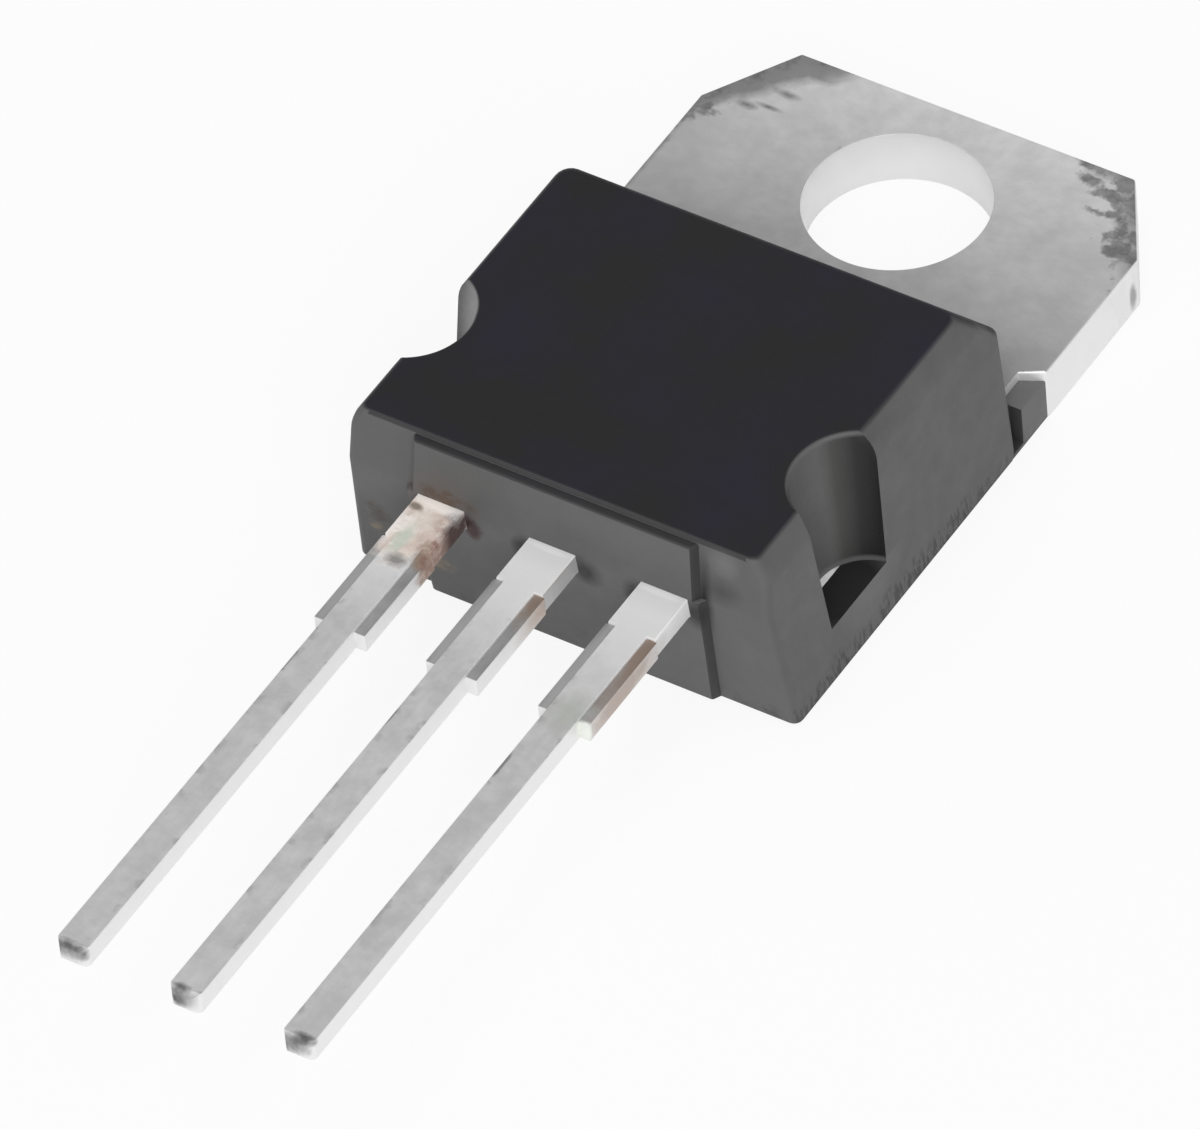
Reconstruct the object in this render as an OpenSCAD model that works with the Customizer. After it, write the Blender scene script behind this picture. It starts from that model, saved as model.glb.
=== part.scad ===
// Three-lead voltage regulator: a moulded body on a metal tab with one screw hole, and three flat leads.
// Sizes are millimetres. The origin is the centre of the screw hole on the back plane.
// +Z points out through the front, +Y to the free end of the tab, and the leads run to -Y.

/* [Tab] */
// width of the metal tab
tab_w = 10.12; // [9.9:0.02:10.3]
// thickness of the tab and of the pad that carries the chip
tab_t = 1.27; // [1.2:0.01:1.34]
// diameter of the screw hole
hole_d = 3.84; // [3.6:0.02:4]
// from the hole centre to the free end of the tab
hole_to_end = 2.76; // [2.6:0.02:2.95]
// how much of the tab's length stands clear of the moulded body
tab_free = 6.6; // [6.4:0.05:6.7]
// how far a cut corner reaches along the free end
corner_w = 1.19; // [0.6:0.01:1.4]
// how far a cut corner reaches down the side
corner_l = 1.95; // [1:0.05:2.2]
// length of the side notch next to the body, which the moulded ear fills
notch_l = 1.1; // [0.8:0.05:1.3]
// depth of the side notch
notch_d = 0.5; // [0.3:0.05:0.6]
// how much nearer to the body the notch's inner corner lies than its outer one
notch_slant = 0.45; // [0.2:0.05:0.55]
// from the body's back wall in to where the tab narrows to the pad
pad_step = 0.5; // [0.3:0.05:0.7]

/* [Moulded body] */
// how far each side of the body stands inside the edge of the tab
body_in = 0.02; // [0:0.01:0.1]
// height of the body above the back plane
body_t = 4.5; // [4.4:0.02:4.6]
// length of tab and body together
total_l = 15.56; // [15.25:0.01:15.75]
// slope of the side walls from upright, in degrees
side_draft = 3.9; // [2:0.1:6]
// slope of the lead face from upright, in degrees
end_draft = 6.6; // [3:0.1:8]
// length of the sloped edge on the tab side
slope_l = 1.04; // [0.6:0.02:1.3]
// height of the sloped edge on the tab side
slope_h = 1.24; // [0.8:0.02:1.5]
// width of the narrow bevel along each long edge of the top
bevel_w = 0.28; // [0.1:0.02:0.4]
// height of that bevel
bevel_h = 0.45; // [0.2:0.05:0.6]
// resin on the raised plateau of the lead face, beside the shoulders of the outer leads
plateau_rim = 0.3; // [0.25:0.01:0.5]
// how much further in each side of the plateau stands above the parting plane than below it
plateau_step = 0.14; // [0.05:0.01:0.2]
// how far the plateau stands proud of the lead face
plateau_d = 0.17; // [0.1:0.01:0.25]
// how far the plateau stops below the top face
plateau_drop = 0.12; // [0.05:0.01:0.2]
// slope of the plateau's two sides from upright, in degrees
plateau_draft = 2.3; // [1:0.1:4]
// width of the slot between the body wall and each moulded ear
ear_slot = 0.22; // [0.15:0.01:0.3]
// how far an ear stays below the face of the tab
ear_drop = 0.24; // [0.1:0.02:0.4]
// how far an ear stays inside the edge of the tab
ear_in = 0.03; // [0.01:0.01:0.08]
// thickness of the web that joins an ear to the body
ear_web = 0.2; // [0.15:0.01:0.25]

/* [Clamp-pin pockets] */
// radius of a pocket at its floor
pocket_r = 1.04; // [0.9:0.02:1.15]
// taper of the pin, in degrees
pocket_taper = 6.5; // [4:0.1:9]
// from the pocket's centre to the lead face
pocket_back = 3.1; // [2.9:0.05:3.3]
// how far the pocket's centre lies outside the edge of the tab
pocket_out = 0.04; // [0:0.01:0.15]

/* [Leads] */
// spacing of the leads
pitch = 2.54; // [2.44:0.01:2.64]
// thickness of the leads
lead_t = 0.5; // [0.46:0.01:0.55]
// from the back plane to the underside of the leads
lead_rise = 2.56; // [2.45:0.01:2.65]
// length of the leads from the body
lead_l = 13.3; // [13:0.05:14]
// width of the wide shoulder next to the body
shoulder_w = 1.16; // [1.14:0.01:1.3]
// length of the shoulder
shoulder_l = 3.7; // [3.5:0.05:3.93]
// width of the lead past the shoulder
lead_w = 0.7; // [0.61:0.01:0.8]
// length of the plain root between the body and the cut-off dam bar
root_l = 1.2; // [0.9:0.05:1.4]
// how much narrower than the shoulder the plain root is
root_in = 0.1; // [0.04:0.01:0.14]
// how far the sheared dam-bar stubs sit below the lead's top face
stub_drop = 0.06; // [0.03:0.01:0.08]
// how far the pressed tips are cut back at each corner
tip_cut = 0.12; // [0.05:0.01:0.2]

/* [Inside the body] */
// resin beside the pad, measured from the edge of the tab
pad_side = 0.86; // [0.75:0.01:0.95]
// from the lead face back to the pad's front edge
pad_in = 2.4; // [2.3:0.05:2.5]
// side of the square groove across the pad
groove_w = 0.42; // [0.3:0.02:0.5]
// from the body's back wall to the middle of the groove
groove_in = 0.8; // [0.75:0.05:1]
// width of the undercut along each side of the pad
undercut_w = 0.2; // [0.1:0.02:0.3]
// height of the undercuts
undercut_h = 0.38; // [0.25:0.01:0.5]
// from the body's back wall to where the undercuts start
undercut_in = 1.2; // [1:0.05:1.5]
// inner radius of the two bends of the ground lead
bend_r = 0.35; // [0.3:0.01:0.4]
// angle of each bend, in degrees
bend_a = 55; // [50:1:60]
// width of the chip
die_w = 2.4; // [2:0.05:2.6]
// length of the chip
die_l = 2.2; // [1.9:0.05:2.4]
// thickness of the chip
die_t = 0.28; // [0.2:0.01:0.35]
// how far the chip lies behind the middle of the pad
die_shift = 0.2; // [0:0.05:0.4]
// thickness of the solder under the chip
solder_t = 0.05; // [0.03:0.01:0.08]
// how far the solder shows round the chip
solder_edge = 0.15; // [0.1:0.01:0.25]
// diameter of the two current-carrying wires and the ground wire
wire_d = 0.3; // [0.25:0.01:0.36]
// diameter of the thin sense wire
sense_d = 0.12; // [0.08:0.01:0.14]
// height of the long wires' loops above the line between their ends
loop_h = 1; // [0.8:0.02:1.1]
// height of the ground wire's loop
ground_loop = 0.45; // [0.4:0.01:0.55]
// where the two current wires land on the chip, to the side of its middle
wire_x = 0.67; // [0.5:0.01:0.75]
// and towards the leads
wire_y = 0.48; // [0.3:0.02:0.7]
// where the sense wire lands on the chip, to the side of its middle
sense_x = 0.86; // [0.8:0.02:0.95]
// and towards the tab
sense_y = 0.26; // [0.1:0.02:0.5]
// where the ground wire lands on the chip, towards the leads
ground_y = 0.66; // [0.5:0.02:0.75]
// where it lands on the pad, from the chip's front edge
ground_reach = 0.75; // [0.6:0.05:0.9]
// where the wires land on the lead heads, from the front edge of the head
head_land = 0.76; // [0.7:0.02:0.8]
// how far the output wire lands to the inner side of its lead
output_shift = 0.2; // [0.1:0.02:0.3]
// how far the sense wire lands to the outer side of its lead
sense_shift = 0.55; // [0.45:0.05:0.7]
// width of the lead heads inside the body
head_w = 2; // [1.9:0.05:2.1]
// length of the lead heads
head_l = 1.15; // [1:0.05:1.2]
// diameter of the resin-locking hole in each head
lock_d = 0.4; // [0.3:0.02:0.46]
// from the lead face in to the heads
head_in = 0.45; // [0.4:0.01:0.6]
// from the front edge of a head to the centre of its hole
lock_in = 0.3; // [0.26:0.01:0.34]

/* [Hidden] */
$fn = 64;
eps = 0.02;
// how far two parts of one piece reach into each other where they join
join = 0.3;

black = [0.13, 0.13, 0.14];
tin = [0.74, 0.74, 0.74];

// heights
lead_top = lead_rise + lead_t;
die_z = tab_t + solder_t;
die_top = die_z + die_t;
plateau_top = body_t - plateau_drop;

// planes along the length, measured from the free end of the tab
end_y = hole_to_end;
back_y = end_y - tab_free;
face_y = end_y - total_l;
pad_y = face_y + pad_in;
die_y = (back_y + pad_y) / 2 + die_shift;
pocket_y = face_y + pocket_back;
recess_y = face_y + plateau_d;
shoulder_y = face_y - shoulder_l;
tip_y = face_y - lead_l;

// half widths of the drafted body
body_h0 = tab_w / 2 - body_in;
bevel_z = body_t - bevel_h;
bevel_x = body_h0 - bevel_z * tan(side_draft);
top_x = bevel_x - bevel_w;

// widths across the body: the pad, and the plateau that takes in all three leads
pad_w = tab_w - 2 * pad_side;
plateau_w = 2 * pitch + shoulder_w + 2 * plateau_rim;

// the pocket widens upward with the pin's taper
pocket_x = tab_w / 2 + pocket_out;
pocket_top_r = pocket_r + (body_t - tab_t) * tan(pocket_taper);

// lead heads: the back edge, and the neck between head and lead face
head_y = face_y + head_in;
head_back_y = head_y + head_l;
lock_y = head_y + lock_in;

// where the wires land on the chip, on the heads and on the pad
land_y = head_y + head_land;
wire_on_die = [wire_x, die_y - wire_y];
sense_on_die = [sense_x, die_y + sense_y];
ground_on_die = [0, die_y - ground_y];
ground_on_pad = [0, die_y - die_l / 2 - ground_reach];

// the jog of the ground lead: two equal bends and a straight flight between them
jog_rise = lead_rise - (tab_t - lead_t);
jog_mid = bend_r + lead_t / 2;
jog_flight = (jog_rise - 2 * jog_mid * (1 - cos(bend_a))) / sin(bend_a);
jog_run = 2 * jog_mid * sin(bend_a) + jog_flight * cos(bend_a);
jog_flat = (pad_y - face_y - jog_run) / 2;

// a prism drawn in the side view: its points are [y, z] and it is centred on x with the given width
module side_prism(points, width) {
    rotate([90, 0, 90])
        linear_extrude(width, center = true)
            polygon(points);
}

// the outline of the body seen from the side, with its lead face at a given y on the parting plane
function side_outline(front, top) = [
    [back_y, 0],
    [back_y, body_t - slope_h],
    [back_y - slope_l * (top - body_t + slope_h) / slope_h, top],
    [front + (top - lead_top) * tan(end_draft), top],
    [front, lead_top],
    [front + lead_top * tan(end_draft), 0]
];

// the outline of the body seen from the leads: drafted sides and a bevel along the top edges
function end_outline() = [
    [-body_h0, 0],
    [-bevel_x, bevel_z],
    [-top_x, body_t],
    [top_x, body_t],
    [bevel_x, bevel_z],
    [body_h0, 0]
];

// the plateau narrows away from the parting plane, as the mould needs, and is narrower above it
function plateau_side(z) = plateau_w / 2 - abs(z - lead_top) * tan(plateau_draft);
function plateau_outline() = [
    [-plateau_side(0), 0],
    [-plateau_side(lead_top), lead_top],
    [-plateau_side(lead_top) + plateau_step, lead_top],
    [-plateau_side(plateau_top) + plateau_step, plateau_top],
    [plateau_side(plateau_top) - plateau_step, plateau_top],
    [plateau_side(lead_top) - plateau_step, lead_top],
    [plateau_side(lead_top), lead_top],
    [plateau_side(0), 0]
];

module drafted_block() {
    intersection() {
        side_prism(side_outline(recess_y, body_t), 2 * tab_w);
        translate([0, end_y, 0])
            rotate([90, 0, 0])
                linear_extrude(total_l + join)
                    polygon(end_outline());
    }
    intersection() {
        side_prism(side_outline(face_y, plateau_top), tab_w);
        translate([0, pocket_y, 0])
            rotate([90, 0, 0])
                linear_extrude(total_l)
                    polygon(plateau_outline());
    }
}

// one tapered pocket, left by a pin that holds the pad down while the body is moulded
module clamp_pocket() {
    translate([pocket_x, pocket_y, tab_t]) {
        cylinder(h = body_t - tab_t, r1 = pocket_r, r2 = pocket_top_r);
        translate([0, 0, body_t - tab_t - eps])
            cylinder(h = join, r = pocket_top_r);
    }
}

// the ear fills the tab's side notch and stands clear of the body wall by a thin slot
module ear() {
    h = tab_t - ear_drop;
    translate([tab_w / 2 - notch_d, back_y + ear_slot, 0])
        cube([notch_d - ear_in, notch_l - ear_slot, h]);
    translate([tab_w / 2 - notch_d, back_y - join, 0])
        cube([ear_web, join + ear_slot + ear_web / 2, h]);
}

// the plan of the tab and pad: cut corners, side notches and a narrower pad with a step
function tab_plan() = [
    [-tab_w / 2 + corner_w, end_y],
    [tab_w / 2 - corner_w, end_y],
    [tab_w / 2, end_y - corner_l],
    [tab_w / 2, back_y + notch_l],
    [tab_w / 2 - notch_d, back_y + notch_l - notch_slant],
    [tab_w / 2 - notch_d, back_y - pad_step],
    [pad_w / 2, back_y - pad_step],
    [pad_w / 2, pad_y],
    [-pad_w / 2, pad_y],
    [-pad_w / 2, back_y - pad_step],
    [-tab_w / 2 + notch_d, back_y - pad_step],
    [-tab_w / 2 + notch_d, back_y + notch_l - notch_slant],
    [-tab_w / 2, back_y + notch_l],
    [-tab_w / 2, end_y - corner_l]
];

// points along an arc in the side view
function arc(centre, r, from, to) = [
    for (i = [0:10])
        centre + r * [cos(from + (to - from) * i / 10), sin(from + (to - from) * i / 10)]
];

// the thin strip that leaves the pad and climbs to the plane of the leads in two round bends
module jog() {
    low = [pad_y - jog_flat, tab_t + bend_r];
    high = [face_y + jog_flat, lead_rise - bend_r];
    out = bend_r + lead_t;
    side_prism(
        concat(
            [[pad_y + join, tab_t]],
            arc(low, bend_r, -90, -90 - bend_a),
            arc(high, out, 90 - bend_a, 90),
            [[face_y - join, lead_top], [face_y - join, lead_rise]],
            arc(high, bend_r, 90, 90 - bend_a),
            arc(low, out, -90 - bend_a, -90),
            [[pad_y + join, tab_t - lead_t]]
        ),
        shoulder_w - root_in
    );
}

// the part of a lead outside the body: plain root, sheared dam-bar stubs, narrow lead, pressed tip
module blade() {
    root_h = (shoulder_w - root_in) / 2;
    lead_h = lead_w / 2;
    translate([0, 0, lead_rise])
        linear_extrude(lead_t)
            polygon([
                [-root_h, face_y],
                [root_h, face_y],
                [root_h, face_y - root_l],
                [lead_h, face_y - root_l],
                [lead_h, tip_y + tip_cut * 2],
                [lead_h - tip_cut, tip_y],
                [-lead_h + tip_cut, tip_y],
                [-lead_h, tip_y + tip_cut * 2],
                [-lead_h, face_y - root_l],
                [-root_h, face_y - root_l]
            ]);
    translate([-shoulder_w / 2, shoulder_y, lead_rise])
        cube([shoulder_w, shoulder_l - root_l, lead_t - stub_drop]);
}

// the part of an outer lead inside the body: a neck and a wide head with a resin-locking hole
module head() {
    neck_w = shoulder_w - root_in;
    translate([0, 0, lead_rise])
        difference() {
            union() {
                translate([-neck_w / 2, face_y - join, 0])
                    cube([neck_w, head_in + 2 * join, lead_t]);
                translate([-head_w / 2, head_y, 0])
                    cube([head_w, head_l, lead_t]);
            }
            translate([0, lock_y, -eps])
                cylinder(h = lead_t + 2 * eps, d = lock_d);
        }
}

// an arched wire from a point on one surface to a point on another, flattened where it is pressed down
module arched_wire(p, p_z, q, q_z, d, bulge) {
    run = norm(q - p);
    rise = q_z - p_z;
    chord = sqrt(run * run + rise * rise);
    tilt = atan2(rise, run);
    r = (chord * chord / 4 + bulge * bulge) / (2 * bulge);
    centre_x = run / 2 + (r - bulge) * sin(tilt);
    centre_z = rise / 2 - (r - bulge) * cos(tilt);
    translate([p[0], p[1], p_z])
        rotate([0, 0, atan2(q[1] - p[1], q[0] - p[0])]) {
            intersection() {
                translate([centre_x, 0, centre_z])
                    rotate([90, 0, 0])
                        rotate([0, 0, 1])
                            rotate_extrude(angle = 178)
                                translate([r, 0])
                                    circle(d = d, $fn = 32);
                union() {
                    translate([-chord, -d, 0])
                        cube([chord + run / 2, 2 * d, 2 * chord]);
                    translate([run / 2 - eps, -d, rise])
                        cube([chord + run / 2 + eps, 2 * d, 2 * chord]);
                }
            }
            foot(d);
            translate([run, 0, rise])
                foot(d);
        }
}

// the flattened end of a wire
module foot(d) {
    translate([-d * 0.8, -d * 0.65, 0])
        cube([d * 1.6, d * 1.3, d * 0.45]);
}

module heat_sink_tab() {
    color(tin) {
        difference() {
            linear_extrude(tab_t)
                polygon(tab_plan());
            translate([0, 0, -eps])
                cylinder(h = tab_t + 2 * eps, d = hole_d, $fn = 96);
            // a groove across the pad that the resin grips
            translate([0, back_y - groove_in, tab_t])
                rotate([45, 0, 0])
                    cube([tab_w, groove_w, groove_w], center = true);
            // an undercut along each side of the pad, also for grip
            for (side = [-1, 1])
                translate([side * pad_w / 2 - undercut_w, pad_y - eps, -eps])
                    cube([2 * undercut_w, back_y - undercut_in - pad_y + eps, undercut_h + eps]);
        }
        jog();
        blade();
    }
}

module input_lead() {
    color(tin)
        translate([-pitch, 0, 0]) {
            blade();
            head();
        }
}

module output_lead() {
    color(tin)
        translate([pitch, 0, 0]) {
            blade();
            head();
        }
}

module regulator_die() {
    color([0.32, 0.34, 0.38])
        translate([-die_w / 2, die_y - die_l / 2, die_z])
            cube([die_w, die_l, die_t]);
}

module die_attach_solder() {
    w = die_w + 2 * solder_edge;
    l = die_l + 2 * solder_edge;
    color([0.6, 0.61, 0.63])
        translate([-w / 2, die_y - l / 2, tab_t])
            cube([w, l, solder_t]);
}

module input_bond_wire() {
    color([0.85, 0.85, 0.86])
        arched_wire([-wire_on_die[0], wire_on_die[1]], die_top, [-pitch, land_y], lead_top, wire_d, loop_h);
}

module output_bond_wire() {
    color([0.85, 0.85, 0.86])
        arched_wire(wire_on_die, die_top, [pitch - output_shift, land_y], lead_top, wire_d, loop_h);
}

module sense_bond_wire() {
    color([0.85, 0.85, 0.86])
        arched_wire(sense_on_die, die_top, [pitch + sense_shift, land_y], lead_top, sense_d, loop_h);
}

module ground_bond_wire() {
    color([0.85, 0.85, 0.86])
        arched_wire(ground_on_die, die_top, ground_on_pad, tab_t, wire_d, ground_loop);
}

// the body is moulded round everything it holds, so each inner piece leaves its own shape in it
module moulded_body() {
    color(black)
        difference() {
            union() {
                drafted_block();
                ear();
                mirror([1, 0, 0])
                    ear();
            }
            clamp_pocket();
            mirror([1, 0, 0])
                clamp_pocket();
            heat_sink_tab();
            input_lead();
            output_lead();
            regulator_die();
            die_attach_solder();
            input_bond_wire();
            output_bond_wire();
            sense_bond_wire();
            ground_bond_wire();
        }
}

moulded_body();
heat_sink_tab();
input_lead();
output_lead();
regulator_die();
die_attach_solder();
input_bond_wire();
output_bond_wire();
sense_bond_wire();
ground_bond_wire();
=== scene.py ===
# %% [markdown]
# A voltage regulator is a small power part: a black resin block moulded round a copper tab and three flat leads.
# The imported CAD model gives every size, but its edges are knife sharp and its surfaces are bare. This lesson
# dresses it for a close picture. The outer pieces are modelled again with rounded edges, and each finish is built
# from nodes: tin plating that is mottled and stained, sheared stubs that show copper, and dull black resin.
# Run the cells in order. Each one prints what it made, so a mistake shows up where it happens.

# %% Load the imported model
from math import cos, radians, sin, tan

import bmesh
import bpy
from mathutils import Matrix, Vector


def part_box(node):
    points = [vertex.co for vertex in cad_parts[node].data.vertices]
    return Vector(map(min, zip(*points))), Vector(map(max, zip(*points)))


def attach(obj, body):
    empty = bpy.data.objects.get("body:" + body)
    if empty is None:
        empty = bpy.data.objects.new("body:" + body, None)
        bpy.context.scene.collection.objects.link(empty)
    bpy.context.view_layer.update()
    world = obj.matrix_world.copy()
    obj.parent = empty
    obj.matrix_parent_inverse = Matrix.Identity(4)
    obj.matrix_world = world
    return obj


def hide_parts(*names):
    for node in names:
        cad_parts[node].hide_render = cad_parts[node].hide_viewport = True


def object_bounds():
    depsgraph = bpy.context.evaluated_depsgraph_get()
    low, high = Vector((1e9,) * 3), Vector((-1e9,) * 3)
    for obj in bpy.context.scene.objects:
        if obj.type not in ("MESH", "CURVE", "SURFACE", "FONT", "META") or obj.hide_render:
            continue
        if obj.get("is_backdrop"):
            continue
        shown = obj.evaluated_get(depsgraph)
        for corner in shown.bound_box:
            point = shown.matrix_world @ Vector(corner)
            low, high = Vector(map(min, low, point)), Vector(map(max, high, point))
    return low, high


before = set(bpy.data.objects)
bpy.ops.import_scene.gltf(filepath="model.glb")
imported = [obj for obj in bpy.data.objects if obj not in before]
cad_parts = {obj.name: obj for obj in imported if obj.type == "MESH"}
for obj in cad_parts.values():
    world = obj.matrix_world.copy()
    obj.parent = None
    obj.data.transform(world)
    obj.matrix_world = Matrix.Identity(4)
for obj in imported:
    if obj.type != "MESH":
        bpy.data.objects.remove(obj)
cad_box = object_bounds()
MM = 0.001
for name in sorted(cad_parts):
    low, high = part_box(name)
    print(f"{name}: {[round(v / MM, 2) for v in low]} to {[round(v / MM, 2) for v in high]} mm")

# %% [markdown]
# The camera comes first, because every later choice is judged through it. The photograph was taken from far away
# with a long lens, so the leads look almost parallel. A long lens is easy to copy: put the camera 315 mm away and
# narrow its view with a focal length near 487 mm. The angles were fitted to edges of the part in the photograph.

# %% Camera
def add_object(name, data):
    """An object with this data, linked to the scene."""
    obj = bpy.data.objects.new(name, data)
    bpy.context.scene.collection.objects.link(obj)
    return obj


azimuth, elevation, roll = radians(35.587), radians(45.488), radians(-5.527)
aim = Vector((0.053, -11.341, 1.27)) * MM
distance = 315.453 * MM
pixels_per_mm, image_px, sensor_mm = 51.449, 1200, 36

back = Vector((sin(azimuth) * cos(elevation), -cos(azimuth) * cos(elevation), sin(elevation)))
level = Vector((cos(azimuth), sin(azimuth), 0))
above = back.cross(level)
right = cos(roll) * level + sin(roll) * above
up = cos(roll) * above - sin(roll) * level

lens = bpy.data.cameras.new("camera")
lens.sensor_fit = "HORIZONTAL"
lens.sensor_width = sensor_mm
lens.lens = pixels_per_mm * distance / MM / image_px * sensor_mm
lens.clip_start, lens.clip_end = 0.02, 5
camera = add_object("camera", lens)
place_at = aim + back * distance
camera.matrix_world = Matrix((
    (right.x, up.x, back.x, place_at.x),
    (right.y, up.y, back.y, place_at.y),
    (right.z, up.z, back.z, place_at.z),
    (0, 0, 0, 1),
))
bpy.context.scene.camera = camera
print(f"camera: {lens.lens:.1f} mm lens, {distance / MM:.0f} mm from the part")

# %% [markdown]
# All shapes below are drawn in millimetres, with the same planes as the CAD model, and are scaled to metres at the
# very end. Numbers such as 0.5 are easier to read and to check than 0.0005. The origin is the centre of the screw
# hole on the back plane, the leads run towards -Y, and the front of the part faces +Z.

# %% Planes and sizes shared by the pieces
tab_half, tab_t, tab_end = 5.06, 1.27, 2.76
hole_r = 1.92
corner_l, corner_w = 1.95, 1.19
body_half, body_top = 5.04, 4.5
body_back, lead_face, recess = -3.84, -12.80, -12.63
pad_half, pad_front = 4.2, -10.4
lead_under, lead_top = 2.56, 3.06
root_half, lead_half, stub_half = 0.53, 0.35, 0.58
root_end, shoulder_end, tip = -14.0, -16.5, -26.1
stub_top = lead_top - 0.06
pitch = 2.54
low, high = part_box("heat_sink_tab")
print(f"tab and ground lead in the CAD: {(high.y - low.y) / MM:.2f} mm long; here {tab_end - tip:.2f} mm")

# %% [markdown]
# Five small helpers do the workshop jobs. A box is a cube primitive stretched between two corners. A saw cut is a
# bisect plane that throws away the outer side and closes the cut with one face. Pushing faces is an extrusion. A
# punch is a Boolean with a second closed mesh, as the real strip is punched with steel tools. Its two meshes should
# cross cleanly and never share a plane, so every cutter below reaches a little past what it cuts. Rounding is the
# bevel operator on chosen edges.

# %% Workshop helpers: box, saw, push, punch, rounding
def box_between(corner, opposite):
    """A new mesh with one box between two corners."""
    bm = bmesh.new()
    bmesh.ops.create_cube(bm, size=1)
    corner, opposite = Vector(corner), Vector(opposite)
    bmesh.ops.scale(bm, vec=opposite - corner, verts=bm.verts)
    bmesh.ops.translate(bm, vec=(corner + opposite) / 2, verts=bm.verts)
    return bm


def saw(bm, point, outward, keep=False):
    """Cuts along a plane. What lies outward goes, and the cut is closed, unless keep only scores a line."""
    everything = bm.verts[:] + bm.edges[:] + bm.faces[:]
    cut = bmesh.ops.bisect_plane(
        bm, geom=everything, dist=1e-5, plane_co=point, plane_no=outward, clear_outer=not keep
    )
    if not keep:
        rim = [part for part in cut["geom_cut"] if isinstance(part, bmesh.types.BMEdge)]
        bmesh.ops.contextual_create(bm, geom=rim)


def push_faces(bm, faces, move):
    """Extrudes faces, moves them and returns them. The faces that they leave behind go."""
    grown = bmesh.ops.extrude_face_region(bm, geom=faces)
    moved = [part for part in grown["geom"] if isinstance(part, bmesh.types.BMVert)]
    bmesh.ops.translate(bm, vec=move, verts=moved)
    bmesh.ops.delete(bm, geom=[face for face in faces if face.is_valid], context="FACES_ONLY")
    bmesh.ops.delete(bm, geom=[edge for edge in bm.edges if not edge.link_faces], context="EDGES")
    return [part for part in grown["geom"] if isinstance(part, bmesh.types.BMFace)]


def punch(work, tool, how="DIFFERENCE"):
    """Cuts a closed mesh with another one, or joins them with how="UNION". Both are used up."""
    blanks = []
    for bm in (work, tool):
        bmesh.ops.recalc_face_normals(bm, faces=bm.faces)
        mesh = bpy.data.meshes.new("blank")
        bm.to_mesh(mesh)
        bm.free()
        blanks.append(add_object("blank", mesh))
    job = blanks[0].modifiers.new("punch", "BOOLEAN")
    job.operation, job.solver, job.object = how, "EXACT", blanks[1]
    result = bmesh.new()
    result.from_object(blanks[0], bpy.context.evaluated_depsgraph_get())
    for blank in blanks:
        bpy.data.meshes.remove(blank.data)
    bmesh.ops.remove_doubles(result, verts=result.verts, dist=1e-4)
    bmesh.ops.dissolve_limit(result, angle_limit=radians(0.3), verts=result.verts, edges=result.edges)
    return result


def round_edges(bm, radius, chosen, segments=3, sharper_than=20):
    """Rounds the sharp convex edges whose two ends pass the test."""
    bm.normal_update()
    edges = [
        edge
        for edge in bm.edges
        if len(edge.link_faces) == 2
        and edge.is_convex
        and edge.calc_face_angle() > radians(sharper_than)
        and chosen(edge.verts[0].co, edge.verts[1].co)
    ]
    length = sum(edge.calc_length() for edge in edges)
    rounded = bmesh.ops.bevel(
        bm, geom=edges, offset=radius, offset_type="OFFSET", segments=segments, profile=0.5,
        affect="EDGES", clamp_overlap=True, material=-1,
    )
    area = sum(face.calc_area() for face in rounded["faces"])
    bmesh.ops.remove_doubles(bm, verts=bm.verts, dist=1e-4)
    return f"{len(edges)} edges, {area / max(length, 1e-9):.3f} mm wide"


print("helpers ready")

# %% [markdown]
# A piece also needs smooth shading where it is round and flat shading where it is flat. Every face is smooth, only
# folds of more than 34 degrees are marked sharp, and a Weighted Normal modifier lets the large faces rule, so they
# stay flat while the narrow strips of a rounding carry the whole turn. One number is stored on each face for the
# finishes to read later: how far it is a special place, such as a crevice of the mould or a sheared stub.

# %% Helpers that shade a mesh and turn it into a piece
def shade(bm):
    """Smooth shading with sharp creases."""
    bm.normal_update()
    for face in bm.faces:
        face.smooth = True
    for edge in bm.edges:
        if len(edge.link_faces) == 2:
            edge.smooth = edge.calc_face_angle() < radians(34)


def note_faces(bm, special):
    """Stores on each face how special the test calls it, from 0 to 1."""
    mark = bm.faces.layers.float.new("special")
    for face in bm.faces:
        face[mark] = special(face.calc_center_median(), face.normal)


def finish_piece(bm, name, materials, nodes, special, choose=None):
    """Turns a millimetre mesh into an object at the origin that stands for its CAD nodes."""
    bmesh.ops.remove_doubles(bm, verts=bm.verts, dist=1e-4)
    bmesh.ops.recalc_face_normals(bm, faces=bm.faces)
    shade(bm)
    note_faces(bm, special)
    for face in bm.faces:
        face.material_index = choose(face.calc_center_median()) if choose else 0
    open_edges = sum(1 for edge in bm.edges if not edge.is_manifold)
    bmesh.ops.scale(bm, vec=(MM, MM, MM), verts=bm.verts)
    mesh = bpy.data.meshes.new(name)
    bm.to_mesh(mesh)
    bm.free()
    for material in materials:
        mesh.materials.append(material)
    piece = add_object(name, mesh)
    evening = piece.modifiers.new("even_shading", "WEIGHTED_NORMAL")
    evening.weight, evening.keep_sharp = 90, True
    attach(piece, "root")
    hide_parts(*nodes)
    print(f"{name}: {len(mesh.polygons)} faces, {open_edges} open edges, stands for {', '.join(nodes)}")


print("piece helpers ready")

# %% [markdown]
# A finish is a stack of effects: a base colour, a slow mottle, stains at certain places, and a fine grain for the
# bump. Each effect that several finishes share is a node group, built once. The coordinates are the object's own,
# turned into millimetres, so a stain keeps its place from every side. These helpers only save typing.

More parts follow.
